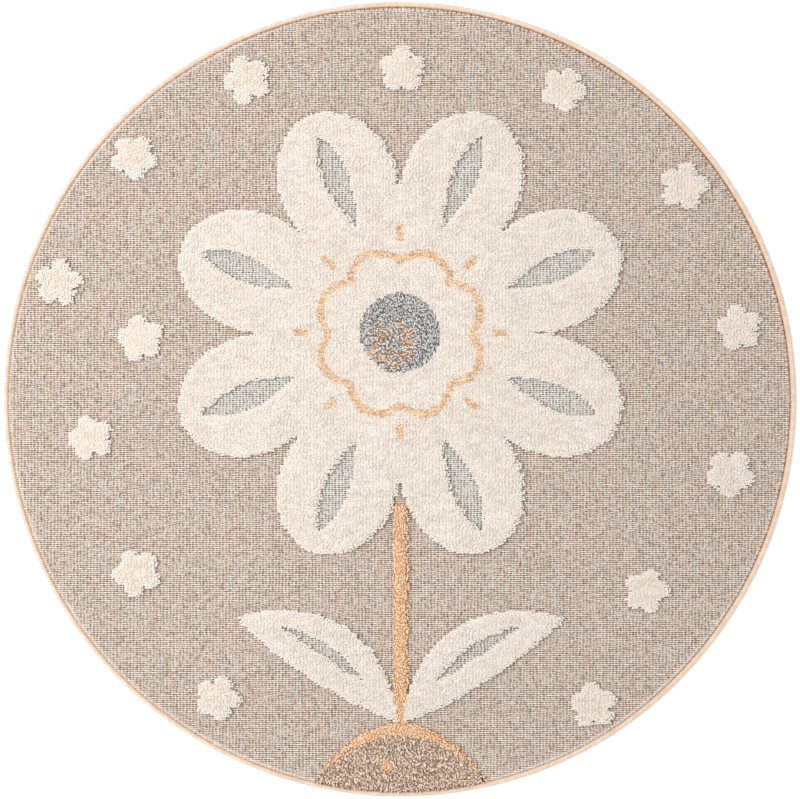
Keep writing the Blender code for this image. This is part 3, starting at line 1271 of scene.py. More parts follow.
class Nap(Enum):
    """The looks of the pile: slate and taupe have one, cream has two, and peach has three."""

    # In each look, root is a painted shade deep between the tufts, and rim is a painted highlight at the
    # field's edge.
    CREAM = PileFinish(
        name="cream_pile",
        dark=linear(224, 214, 204),
        middle=linear(233, 225, 217),
        light=linear(243, 236, 229),
        root=linear(210, 195, 180),
        rim=linear(241, 234, 225),
        root_shade_strength=0.37,
        spread=0.8,
        rim_highlight_strength=0.9,
        coarseness=0.5,
        sheen=0.1,
        evenness=0.58,
        rim_evenness=0.75,
    )
    BLOSSOM = PileFinish(
        name="cream_blossom_pile",
        dark=linear(229, 218, 206),
        middle=linear(235, 225, 215),
        light=linear(241, 233, 225),
        root=linear(220, 204, 186),
        rim=linear(245, 237, 229),
        root_shade_strength=0.40,
        spread=0.9,
        rim_highlight_strength=1.0,
        coarseness=0.5,
        sheen=0.1,
        evenness=0.78,
        rim_evenness=0.88,
    )
    LINE = PileFinish(
        name="peach_line_pile",
        dark=linear(212, 174, 140),
        middle=linear(240, 208, 176),
        light=linear(246, 222, 196),
        root=linear(186, 148, 116),
        rim=linear(242, 214, 186),
        root_shade_strength=0.60,
        spread=1.1,
        rim_highlight_strength=0.2,
        coarseness=0.6,
        sheen=0.1,
        evenness=0.5,
        rim_evenness=0.5,
    )
    SLATE = PileFinish(
        name="slate_pile",
        dark=linear(162, 163, 163),
        middle=linear(206, 206, 204),
        light=linear(234, 232, 228),
        root=linear(58, 53, 50),
        rim=linear(200, 202, 200),
        root_shade_strength=0.90,
        spread=1.2,
    )
    PEACH = PileFinish(
        name="peach_pile",
        dark=linear(236, 192, 149),
        middle=linear(248, 211, 174),
        light=linear(255, 229, 198),
        root=linear(166, 112, 72),
        rim=linear(250, 216, 182),
        root_shade_strength=0.65,
        spread=1.2,
    )
    FLECK = PileFinish(
        name="peach_fleck_pile",
        dark=linear(206, 168, 136),
        middle=linear(230, 194, 164),
        light=linear(246, 216, 190),
        root=linear(104, 78, 60),
        rim=linear(226, 196, 168),
        root_shade_strength=0.85,
        spread=1.3,
    )
    TAUPE = PileFinish(
        name="taupe_pile",
        dark=linear(183, 156, 138),
        middle=linear(229, 204, 186),
        light=linear(248, 229, 212),
        root=linear(84, 62, 48),
        rim=linear(226, 206, 192),
        root_shade_strength=0.78,
        spread=1.3,
    )


# Pieces.


@dataclass(frozen=True)
class Outline:
    """How deep inside the pile's drawn outline each place lies, and which way is out, on a fine grid."""

    fine: int
    depth: Array
    out_x: Array
    out_y: Array

    @classmethod
    def traced(cls, loom: Loom, field: Array) -> "Outline":
        """Finds the depth from the field of pile, whose outline steps by whole cells with soft corners.

        The field is 1 in the pile and 0 outside. A bell curve softens it, so that it runs from 0 to 1
        across the outline, and the depth is the curve's width times the logit of that value over 1.702.
        The curve is narrow near the outline, and wider further off.

        Args:
            loom: The grid, which the fine grid divides in three each way.
            field: True for each cell of pile.

        Returns:
            The depth, positive inside, and the outward direction.
        """
        fine, wide, narrow, near = 3, 0.0024, 0.0011, 0.0030
        logit_scale, least = 1.702, 1e-5
        blocks = np.repeat(np.repeat(field, fine, axis=0), fine, axis=1)
        waves_x = np.fft.fftfreq(blocks.shape[1], loom.pitch_x / fine)[None, :]
        waves_y = np.fft.fftfreq(blocks.shape[0], loom.pitch_y / fine)[:, None]
        waves = np.fft.fft2(blocks)
        depths = []
        for softness in (wide, narrow):
            bell = np.exp(-2 * (math.pi * softness) ** 2 * (waves_x**2 + waves_y**2))
            soft = np.clip(np.fft.ifft2(waves * bell).real, least, 1 - least)
            depths.append(softness * np.log(soft / (1 - soft)) / logit_scale)
        broad, close = depths
        rise_y, rise_x = np.gradient(broad, loom.pitch_y / fine, loom.pitch_x / fine)
        size = np.hypot(rise_x, rise_y) + 1e-9
        depth = broad + (close - broad) * np.exp(-((broad / near) ** 2))
        return cls(fine, depth, -rise_x / size, -rise_y / size)

    def at(self, column: Array, row: Array) -> tuple[Array, Array, Array]:
        """The depth and the outward direction at places given in columns and rows."""
        i = np.clip(np.round(self.fine * column - 0.5).astype(int), 0, self.depth.shape[1] - 1)
        j = np.clip(np.round(self.fine * row - 0.5).astype(int), 0, self.depth.shape[0] - 1)
        return self.depth[j, i], self.out_x[j, i], self.out_y[j, i]


@dataclass(frozen=True)
class Cloth:
    """Where each yarn lies on the loom: the plan that the ground and the pile share.

    code, inset and pile give each cell's yarn, how far inside the edge it lies, and whether it holds pile,
    which stops at margin from the edge.
    """

    loom: Loom
    edge: EdgeLine
    code: Array
    inset: Array
    pile: Array
    outline: Outline
    margin: float = 0.0095

    @classmethod
    def planned(cls, loom: Loom, edge: EdgeLine, picture: Picture) -> "Cloth":
        """Reads the picture and the edge at every cell's centre."""
        x, y = loom.place(*loom.cells())
        code, inset = picture.yarns(x, y), edge.inset(x, y)
        pile = np.isin(code, [CODE[yarn] for yarn in PILE_YARNS]) & (inset > cls.margin)
        return cls(loom, edge, code, inset, pile, Outline.traced(loom, pile))

    def is_yarn(self, *yarns: Yarn) -> Array:
        """The cells that hold one of these yarns."""
        return np.isin(self.code, [CODE[yarn] for yarn in yarns])


@dataclass(frozen=True)
class Backing:
    """The cloth under the face: a thin disc, stepped up where the binding passes under it."""

    edge: EdgeLine
    gap: float = 0.0003
    wrap: float = 0.0023
    ledge: float = 0.0015
    top: float = 0.0030
    bevel: float = 0.0005
    steps: int = 360
    map_margin: float = 1.05

    def surface(self) -> Surface:
        """Rings about the middle, each an inset from the edge and a height, with a point at each pole.

        Returns:
            The closed disc. Its bake map is its plan, with the top beside all the rest.
        """
        angle = np.linspace(0.0, 2 * np.pi, self.steps, endpoint=False)
        direction = np.column_stack((np.cos(angle), np.sin(angle)))
        bound = self.edge.binding_width(angle) + self.gap
        wrapped = np.full(self.steps, self.wrap + self.gap)
        insets = np.stack((bound, bound, wrapped, wrapped, wrapped + self.bevel))
        heights = np.array((0.0, self.ledge, self.ledge, self.top - self.bevel, self.top))
        reach = self.edge.radius(angle)[None, :] - insets
        flat = reach[..., None] * direction[None] - self.edge.centre()
        height = np.broadcast_to(heights[:, None], reach.shape)
        rings = np.concatenate((flat, height[..., None]), axis=2).reshape(-1, 3)
        points = np.concatenate((rings, ((0.0, 0.0, 0.0), (0.0, 0.0, self.top))))
        here = np.arange(self.steps)
        after = (here + 1) % self.steps
        last = (len(heights) - 1) * self.steps
        walls = triangles_of(tube_faces(len(heights), self.steps)[0])
        under = np.column_stack((np.full(self.steps, len(rings)), after, here))
        over = np.column_stack((np.full(self.steps, len(rings) + 1), last + here, last + after))
        faces = np.concatenate((walls, under, over))
        is_over = np.arange(len(faces)) >= len(walls) + len(under)
        bake = points[faces][..., :2] / (2 * self.map_margin * self.edge.diameter) + 0.5
        bake[..., 0] = 0.5 * bake[..., 0] + 0.5 * is_over[:, None]
        return Surface(points, faces, bake.reshape(-1, 2))


@dataclass(frozen=True)
class FlatWeave:
    """Flat stitches: a sheet with four faces to a stitch, high on the stitches and low in the holes.

    The sewing draws the cloth tight up to drawn_full from the binding, and less so up to drawn_end.
    """

    cloth: Cloth
    crown: float = 0.00500
    rib: float = 0.00482
    crossing: float = 0.00415
    hole: float = 0.00370
    under_binding: float = 0.0028
    spread: tuple[float, float, float] = (0.22 * MILLIMETRE, 0.13 * MILLIMETRE, 0.12 * MILLIMETRE)
    drawn_full: float = 0.0032
    drawn_end: float = 0.0056
    seed: int = 31

    def surface(self, cells: Array) -> Surface:
        """The sheet over some cells.

        A point lies at each cell's centre, corner and edge middle. Its height is that of the crown, the
        crossing, the rib or the hole, plus a little chance, and the cloth's drift moves it.

        Args:
            cells: True for each cell to cover.

        Returns:
            The sheet, with its columns and rows as its weave map, and how tight it is drawn as data.
        """
        loom, edge = self.cloth.loom, self.cloth.edge
        wide = 2 * loom.columns + 1
        a, b = np.meshgrid(np.arange(wide), np.arange(2 * loom.rows + 1))
        heights = np.array(((self.crossing, self.hole), (self.rib, self.crown)))[b % 2, a % 2]
        chance = np.random.default_rng(self.seed).normal(0.0, 1.0, (3, *a.shape))
        x, y = loom.place(a / 2, b / 2)
        dx, dy, dz = loom.drift(x, y)
        clear = edge.inset(x, y) - edge.binding_width(np.arctan2(y, x))
        drawn = smooth_step(self.drawn_end, self.drawn_full, clear)
        x = x + dx + self.spread[0] * chance[0]
        y = y + dy + self.spread[1] * chance[1]
        z = heights + dz + self.spread[2] * chance[2]
        row, column = np.nonzero(cells)
        up, along = 2 * row[:, None] + np.array((0, 0, 1, 1)), 2 * column[:, None] + np.array((0, 1, 0, 1))
        used, faces = sheet_faces((up * wide + along).ravel(), wide)
        points = np.column_stack([part.ravel()[used] for part in (x, y, z)])
        weave = np.column_stack((a.ravel()[used] / 2, b.ravel()[used] / 2))
        span = weave.max(axis=0) - weave.min(axis=0)
        bake = (weave - weave.min(axis=0)) / span
        yarn = np.zeros((len(used), 4))
        yarn[:, 0] = drawn.ravel()[used]
        return Surface(points, faces, bake[faces].reshape(-1, 2), weave[faces].reshape(-1, 2), yarn)

    def pieces(self, materials: dict[Flat, Material]) -> list[Piece]:
        """Makes the ground in two halves, and the slits.

        Args:
            materials: The material of each look of the flat weave.

        Returns:
            The three pieces.
        """
        inside = self.cloth.inset > self.under_binding
        ground = self.cloth.is_yarn(Yarn.GROUND) & inside
        west = np.arange(self.cloth.loom.columns)[None, :] < self.cloth.loom.columns // 2
        plan = (
            ("ground_weave_left", ground & west, Yarn.GROUND, Flat.GROUND),
            ("ground_weave_right", ground & ~west, Yarn.GROUND, Flat.GROUND),
            ("slit_weave", self.cloth.is_yarn(Yarn.SLIT) & inside, Yarn.SLIT, Flat.SLIT),
        )
        found = []
        for name, cells, yarn, look in plan:
            piece = new_piece(name, self.surface(cells), materials[look])
            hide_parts("rug_body")
            found.append(piece)
        return found


@dataclass(frozen=True)
class TuftShape:
    """How the tufts of one yarn stand. Each ring gives its share of the tuft's height and its swell.

    facing and turned say how a tuft is turned, and how far that differs, in radians. own_shade and
    row_shade are how much of a tuft's shade is its own, and how much it shares along its row.
    """

    half_x: float
    half_y: float
    per_cell: int
    rings: tuple[tuple[float, float], ...]
    root_spread: tuple[float, float]
    depth: float
    turned: float
    own_shade: float
    row_shade: float
    facing: float = 0.0
    height_spread: float = 0.00016
    lean_spread: float = 0.00035
    sides: int = 4
    ring_spread: float = 0.13
    tip_spread: float = 0.20 * MILLIMETRE
    bend: float = 1.4

    def angles(self) -> Array:
        """The angle of each side's point round a ring."""
        return 2 * np.pi * np.arange(self.sides) / self.sides

    def posts(
        self,
        root: Array,
        lean: Array,
        foot_z: Array,
        tip_z: Array,
        turn: Array,
        rng: np.random.Generator,
    ) -> Array:
        """The points of some tufts.

        Each ring is an ellipse, turned, whose points stray a little in and out. Its middle lies at the root
        plus the lean times a power of its share of the height.

        Args:
            root: X and Y of each tuft's root.
            lean: How far each tip lies from the root along X and Y.
            foot_z: Height of each root.
            tip_z: Height of each tip.
            turn: How far each tuft is turned, in radians.
            rng: The source of the chances.

        Returns:
            The points, as tufts by rings by sides by three.
        """
        count, angle = len(root), self.angles()
        cosine, sine = np.cos(turn)[:, None], np.sin(turn)[:, None]
        points = np.empty((count, len(self.rings), self.sides, 3))
        for k, (share, swollen) in enumerate(self.rings):
            stray = 1 + rng.normal(0.0, self.ring_spread, (count, self.sides))
            u = self.half_x * swollen * stray * np.cos(angle)[None, :]
            v = self.half_y * swollen * stray * np.sin(angle)[None, :]
            middle = root + share**self.bend * lean
            points[:, k, :, 0] = middle[:, 0:1] + u * cosine - v * sine
            points[:, k, :, 1] = middle[:, 1:2] + u * sine + v * cosine
            points[:, k, :, 2] = (foot_z + share * (tip_z - foot_z))[:, None]
        points[:, -1, :, 2] += rng.normal(0.0, self.tip_spread, (count, self.sides))
        return points

    def faces(self) -> Array:
        """One tuft's triangles: a fan over the foot, the walls, and a fan over the tip."""
        side, last = np.arange(self.sides), (len(self.rings) - 1) * self.sides
        fan = np.column_stack((np.zeros(self.sides - 2, int), side[1:-1], side[2:]))
        walls = triangles_of(tube_faces(len(self.rings), self.sides)[0])
        return np.concatenate((fan[:, ::-1], walls, fan + last))

    def unrolled(self) -> Array:
        """Where each corner of one tuft's triangles lies in a unit square.

        The tuft is seen from its tip, with the rings one inside the other, and its foot lies beside it.

        Returns:
            A pair for each corner, as triangles by three by two.
        """
        middle, reach, taper = 0.39, 0.36, 0.22
        foot_middle, foot_reach = 0.88, 0.09
        angle, faces, fan = self.angles(), self.faces(), self.sides - 2
        ring_of, side_of = np.divmod(np.arange(len(self.rings) * self.sides), self.sides)
        spread = reach - taper * ring_of / (len(self.rings) - 1)
        around = angle[side_of]
        places = np.column_stack((middle + spread * np.cos(around), 0.5 + spread * np.sin(around)))
        foot = np.column_stack((foot_middle + foot_reach * np.cos(angle), 0.5 + foot_reach * np.sin(angle)))
        return np.concatenate((foot[faces[:fan]], places[faces[fan:]]))


FINE_TUFT = TuftShape(
    half_x=0.00315,
    half_y=0.00138,
    per_cell=1,
    rings=((0.0, 0.95), (1.0, 0.98)),
    root_spread=(0.00090, 0.00060),
    depth=0.0014,
    turned=0.8,
    own_shade=0.55,
    row_shade=1.7,
)
RIM_TUFT = TuftShape(
    half_x=0.00185,
    half_y=0.00165,
    per_cell=3,
    rings=((0.0, 0.85), (1.0, 1.0)),
    root_spread=(0.00050, 0.00050),
    depth=0.0006,
    turned=3.14,
    own_shade=0.8,
    row_shade=0.8,
)
FRIEZE_TUFT = TuftShape(
    half_x=0.00235,
    half_y=0.00108,
    per_cell=2,
    rings=((0.0, 0.85), (1.0, 1.0)),
    root_spread=(0.00055, 0.00045),
    depth=0.0020,
    turned=0.8,
    own_shade=1.0,
    row_shade=0.0,
    facing=-0.95,
    height_spread=0.00050,
    lean_spread=0.0011,
)


@dataclass(frozen=True)
class CutPile:
    """Cut pile: a soft bed, and a tuft in each cell, leaning out round the rim of each field.

    A lock is a wisp of nap that falls over the outline, on the side to which the nap runs.
    """

    cloth: Cloth
    top: float = 0.0127
    foot: float = 0.0042
    shoulder: float = 0.0055
    shoulder_drop: float = 0.0022
    shoulder_power: float = 1.6
    rim_width: float = 0.0058
    rim_reach: float = 0.0120
    overhang: float = 0.0004
    overhang_swing: Ripple = Ripple(0.0003, 0.011, 43)
    splay_full: float = 0.0010
    splay_end: float = 0.0100
    lock_reach: float = 0.0030
    lock_crowding: float = 0.0022
    lock_full: float = 0.0008
    lock_end: float = 0.0065
    lock_side: tuple[float, float] = (-0.1, 0.75)
    lock_gate: tuple[float, float] = (-0.55, 0.35)
    lock_step: float = 0.2
    lock_noise: Ripple = Ripple(1.0, 0.0052, 47, squeeze=0.35)
    nap_x: float = 0.00025
    nap_y: float = -0.00035
    swirl: float = 0.0006
    swirl_x: Ripple = Ripple(1.0, 0.009, 44)
    swirl_y: Ripple = Ripple(1.6, 0.0036, 45, squeeze=0.4)
    turn: Ripple = Ripple(0.9, 0.022, 46)
    row_shade: Ripple = Ripple(0.5, 0.0024, 48, squeeze=0.25)
    swell: Ripple = Ripple(0.30 * MILLIMETRE, 0.030, 42)
    bed_lumps: Ripple = Ripple(0.3 * MILLIMETRE, 0.012, 41)
    bed_low: float = -0.0010
    bed_high: float = 0.0024
    bed_height_share: float = 0.2
    look_margin: float = 0.004
    leaf_foot: float = -0.55
    leaf_top: float = -0.25
    leaf_half: float = 0.258
    seed: int = 100
    rim_seed: int = 150

    def fall(self, depth: Array) -> Array:
        """How much lower the pile is at some depth inside its outline: 0, but a power curve at the rim."""
        return self.shoulder_drop * np.clip(1 - depth / self.shoulder, 0.0, 1.2) ** self.shoulder_power

    def splay(self, depth: Array, x: Array, y: Array) -> Array:
        """How far outwards a tuft leans: a little at the rim, where nothing holds it up, and not inside."""
        overhang = self.overhang + self.overhang_swing.at(x, y)
        return overhang * smooth_step(self.splay_end, self.splay_full, depth)

    def locks(self, depth: Array, out_x: Array, x: Array, y: Array) -> Array:
        """The extra lean where the nap falls over the outline, on the side to which it runs.

        Smooth noise along the outline gives each lock its reach along +X. The tips crowd towards the
        middle of their lock, in proportion to the reach's rise, so that gaps open between the locks.

        Args:
            depth: How deep inside the outline each tuft stands.
            out_x: The X part of the outward direction.
            x: Places along X.
            y: Places along Y.

        Returns:
            The lean along X and Y of each tuft.
        """
        share = smooth_step(self.lock_end, self.lock_full, depth) * smooth_step(*self.lock_side, out_x)
        low, here, high = (
            smooth_step(*self.lock_gate, self.lock_noise.at(x, y + step * self.lock_noise.cell))
            for step in (-self.lock_step, 0.0, self.lock_step)
        )
        lean = np.column_stack((self.lock_reach * here, self.lock_crowding * (high - low)))
        return share[:, None] * lean

    def bed(self, cells: Array, depth: float) -> Surface:
        """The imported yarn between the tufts: one face to a cell, falling to the ground round the field.

        Args:
            cells: True for each cell to cover.
            depth: How far below the tips the bed lies, in metres.

        Returns:
            The bed. Its bake map lies beyond the loom's last column, so that piece can tell it apart.
        """
        loom = self.cloth.loom
        wide = loom.columns + 1
        a, b = np.meshgrid(np.arange(wide), np.arange(loom.rows + 1))
        inside, _, _ = self.cloth.outline.at(a, b)
        x, y = loom.place(a, b)
        dx, dy, dz = loom.drift(x, y)
        peak = self.top - depth - self.fall(inside) + self.bed_lumps.at(x, y)
        z = self.foot + (peak - self.foot) * smooth_step(self.bed_low, self.bed_high, inside) + dz
        row, column = np.nonzero(cells)
        used, faces = sheet_faces(row * wide + column, wide)
        points = np.column_stack([part.ravel()[used] for part in (x + dx, y + dy, z)])
        grid = np.column_stack((a.ravel()[used], b.ravel()[used])).astype(float)
        yarn = np.zeros((len(used), 4))
        yarn[:, 0] = 0.5
        # The bed counts as low on the tuft, so it takes most of the root's painted shade.
        yarn[:, 1] = self.bed_height_share
        # Nearness to the rim sets the bed's painted highlight.
        yarn[:, 2] = smooth_step(self.rim_reach, 0.0, inside.ravel()[used])
        return Surface(points, faces, grid[faces].reshape(-1, 2) + (loom.columns + 2, 0.0), None, yarn)

    def tufts(self, cells: Array, shape: TuftShape, seed: int) -> Surface:
        """The tufts of some cells: leaning posts with blunt cut ends.

        Each strays from its place, leans with the nap, its swirls and locks, and outwards at the rim, where
        its tip is lower too.

        Args:
            cells: True for each cell that gets tufts.
            shape: How these tufts stand.
            seed: Seed of the chances.

        Returns:
            The tufts, with chance, height and nearness to the rim as data for each point.
        """
        loom = self.cloth.loom
        row, column = (np.repeat(part, shape.per_cell) for part in np.nonzero(cells))
        count = len(row)
        strand = np.arange(count) % shape.per_cell
        place = column + (strand + 0.5) / shape.per_cell, row + 0.5
        inside, out_x, out_y = self.cloth.outline.at(*place)
        rng = np.random.default_rng(seed)
        x, y = loom.place(*place)
        dx, dy, dz = loom.drift(x, y)
        root = np.column_stack((x + dx, y + dy)) + rng.normal(0.0, 1.0, (count, 2)) * shape.root_spread
        lean = rng.normal(0.0, shape.lean_spread, (count, 2)) + (self.nap_x, self.nap_y)
        lean += self.swirl * np.column_stack((self.swirl_x.at(x, y), self.swirl_y.at(x, y)))
        splay = self.splay(inside, x, y)
        lean += splay[:, None] * np.column_stack((out_x, out_y)) + self.locks(inside, out_x, x, y)
        stray_z = rng.normal(0.0, shape.height_spread, count)
        tip_z = self.top + self.swell.at(x, y) + dz - self.fall(inside - splay) + stray_z
        foot_z = np.where(inside < self.shoulder, self.foot, self.top - shape.depth - MILLIMETRE) + dz
        turn = shape.facing + self.turn.at(x, y) + rng.uniform(-shape.turned, shape.turned, count)
        points = shape.posts(root, lean, foot_z, tip_z, turn, rng)
        first = np.arange(count)[:, None, None] * len(shape.rings) * shape.sides
        faces = (first + shape.faces()[None]).reshape(-1, 3)
        across = np.column_stack((strand, np.zeros(count)))[:, None, None, :]
        corners = (shape.unrolled()[None] + across) / (shape.per_cell, 1)
        bake = corners + np.column_stack((column, row))[:, None, None, :]
        chance = shape.own_shade * (rng.random(count) - 0.5)
        in_row = shape.row_shade * self.row_shade.at(x, y)
        yarn = np.zeros((*points.shape[:3], 4))
        yarn[..., 0] = (0.5 + chance + in_row)[:, None, None]
        # A point's share of the tuft's height sets how much painted shade its foot gets.
        yarn[..., 1] = np.array([share for share, _ in shape.rings])[None, :, None]
        # Nearness to the rim sets the tuft's painted highlight.
        yarn[..., 2] = smooth_step(self.rim_reach, 0.0, inside - splay)[:, None, None]
        return Surface(points.reshape(-1, 3), faces, bake.reshape(-1, 2), None, yarn.reshape(-1, 4))

    def piece(
        self, name: str, cells: Array, yarn: Yarn, fine: bool, material: Material
    ) -> Piece:
        """One field of pile: its tufts and its bed, with the bake map shrunk to the unit square.

        Args:
            name: The piece's name, which also seeds its chances.
            cells: True for each cell of the field.
            yarn: Its yarn. It is not used.
            fine: True for fine tufts with a dense rim, False for frieze.
            material: Its finish.

        Returns:
            The piece.
        """
        loom = self.cloth.loom
        own = sum(name.encode())
        if fine:
            rim = self.cloth.outline.at(*loom.cells())[0] < self.rim_width
            rim |= self.cloth.is_yarn(Yarn.PEACH)
            inner = self.tufts(cells & ~rim, FINE_TUFT, self.seed + own)
            whole = joined(inner, self.tufts(cells & rim, RIM_TUFT, self.rim_seed + own))
            whole = joined(whole, self.bed(cells, FINE_TUFT.depth))
        else:
            frieze = self.tufts(cells, FRIEZE_TUFT, self.seed + own)
            whole = joined(frieze, self.bed(cells, FRIEZE_TUFT.depth))
        row, column = np.nonzero(cells)
        low = np.array((column.min(), row.min()), float)
        high = np.array((column.max() + 1, row.max() + 1), float)
        is_bed = whole.bake_map[:, 0] > loom.columns + 1
        bake = whole.bake_map - np.column_stack(((loom.columns + 2) * is_bed, np.zeros(len(is_bed))))
        bake = (bake - low) / (high - low)
        bake[:, 0] = 0.5 * bake[:, 0] + 0.5 * is_bed
        piece = new_piece(name, whole._replace(bake_map=bake), material)
        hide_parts("rug_body")
        return piece

    def pieces(self, picture: Picture, materials: dict[Nap, Material]) -> list[Piece]:
        """Makes the fields of pile: the flower in two halves, the leaves, the blossoms, and the other yarns.

        Args:
            picture: What the loom weaves.
            materials: The material of each look of the pile.

        Returns:
            The pieces.
        """
        x, y = self.cloth.loom.place(*self.cloth.loom.cells())
        cream, slate, peach, taupe = (self.cloth.is_yarn(yarn) & self.cloth.pile for yarn in PILE_YARNS)
        from_middle = np.hypot(x - picture.flower_centre[0], y - picture.flower_centre[1])
        in_flower = from_middle < picture.flower.tip + self.look_margin
        in_leaves = ~in_flower & (y > self.leaf_foot) & (y < self.leaf_top) & (np.abs(x) < self.leaf_half)
        in_disc = from_middle < picture.disc_radius + self.look_margin
        in_lines = ~in_disc & (from_middle < picture.flower.notch)
        plan = (
            ("flower_pile_left", cream & in_flower & (x < 0), Yarn.CREAM, True, Nap.CREAM),
            ("flower_pile_right", cream & in_flower & (x >= 0), Yarn.CREAM, True, Nap.CREAM),
            ("leaf_pile", cream & in_leaves, Yarn.CREAM, True, Nap.CREAM),
            ("blossom_pile", cream & ~in_flower & ~in_leaves, Yarn.CREAM, True, Nap.BLOSSOM),
            ("line_pile", peach & in_lines, Yarn.PEACH, True, Nap.LINE),
            ("slate_pile", slate, Yarn.SLATE, False, Nap.SLATE),
            ("fleck_pile", peach & in_disc, Yarn.PEACH, False, Nap.FLECK),
            ("peach_pile", peach & ~in_lines & ~in_disc, Yarn.PEACH, False, Nap.PEACH),
            ("taupe_pile", taupe, Yarn.TAUPE, False, Nap.TAUPE),
        )
        return [self.piece(name, cells, yarn, fine, materials[nap]) for name, cells, yarn, fine, nap in plan]


@dataclass(frozen=True)
class OverlockEdge:
    """The overlocked edge: yarn wound round the rim, turn by turn."""

    edge: EdgeLine
    height: float = 0.0071
    turns: int = 1000
    steps_per_turn: int = 3
    section_steps: int = 11
    section_start: float = 0.15
    squareness: float = 0.95
    bulge: float = 0.00028
    bulge_inside: float = 0.6
    bulge_outside: float = 0.4
    slant: float = 0.55
    turn_spread: float = 0.10
    loose: Ripple = Ripple(0.12 * MILLIMETRE, 0.02, 62)
    loose_reach: float = 0.6
    seed: int = 61
    map_strips: int = 16

    def surface(self) -> Surface:
        """A flattened oval carried round the edge, with a ridge for each turn of yarn.

        The section is an oval of the binding's width and height, squared off a little. The ridges are a
        cosine along the edge, slanted along the section, that swells it outwards, and no point is lower
        than the floor.

        Returns:
            The closed ring. Its weave map counts the turns, and runs from 0 to 1 round the section. Its bake
            map holds it in strips.
        """
        count = self.turns * self.steps_per_turn
        step, around = np.meshgrid(np.arange(count), np.arange(self.section_steps), indexing="ij")
        share = around / self.section_steps
        phi = 2 * np.pi * share - self.section_start * np.pi
        along = step / self.steps_per_turn
        ridge = np.cos(2 * np.pi * (along - self.slant * share))
        turn_size = np.random.default_rng(self.seed).normal(1.0, self.turn_spread, self.turns + 1)
        own = turn_size[np.floor(along).astype(int) % self.turns]
        u = np.sign(np.cos(phi)) * np.abs(np.cos(phi)) ** self.squareness
        w = -np.sign(np.sin(phi)) * np.abs(np.sin(phi)) ** self.squareness
        swell = self.bulge * ridge * own * (self.bulge_inside + self.bulge_outside * u)
        angle = 2 * np.pi * step / count
        inset = self.edge.binding_width(angle) / 2 * (1 + u) + swell * u
        z = self.height / 2 * (1 + w) + swell * w
        loose = self.loose.at(self.loose_reach * np.cos(angle), self.loose_reach * np.sin(angle))
        reach = self.edge.radius(angle) - inset + loose
        middle = self.edge.centre()
        x, y = reach * np.cos(angle) - middle[0], reach * np.sin(angle) - middle[1]
        points = np.stack((x, y, np.maximum(z, 0.0)), axis=-1).reshape(-1, 3)
        quads, corners = tube_faces(count, self.section_steps, looped=True)
        corner = triangles_of(corners)
        per_strip = count / self.map_strips
        strip = np.floor(np.repeat(corner[..., 0].min(axis=1), 3) / per_strip)
        step_at, share = corner[..., 0].ravel(), corner[..., 1].ravel() / self.section_steps
        weave = np.column_stack((step_at / self.steps_per_turn - self.slant * share, share))
        in_strip = (step_at - strip * per_strip) / per_strip
        bake = np.column_stack((in_strip, (strip + 0.02 + 0.96 * share) / self.map_strips))
        return Surface(points, triangles_of(quads), bake, weave)

    def piece(self, material: Material) -> Piece:
        """The binding, which stands for its solid."""
        ring = new_piece("overlocked_edge", self.surface(), material)
        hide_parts("edge_binding")
        return ring


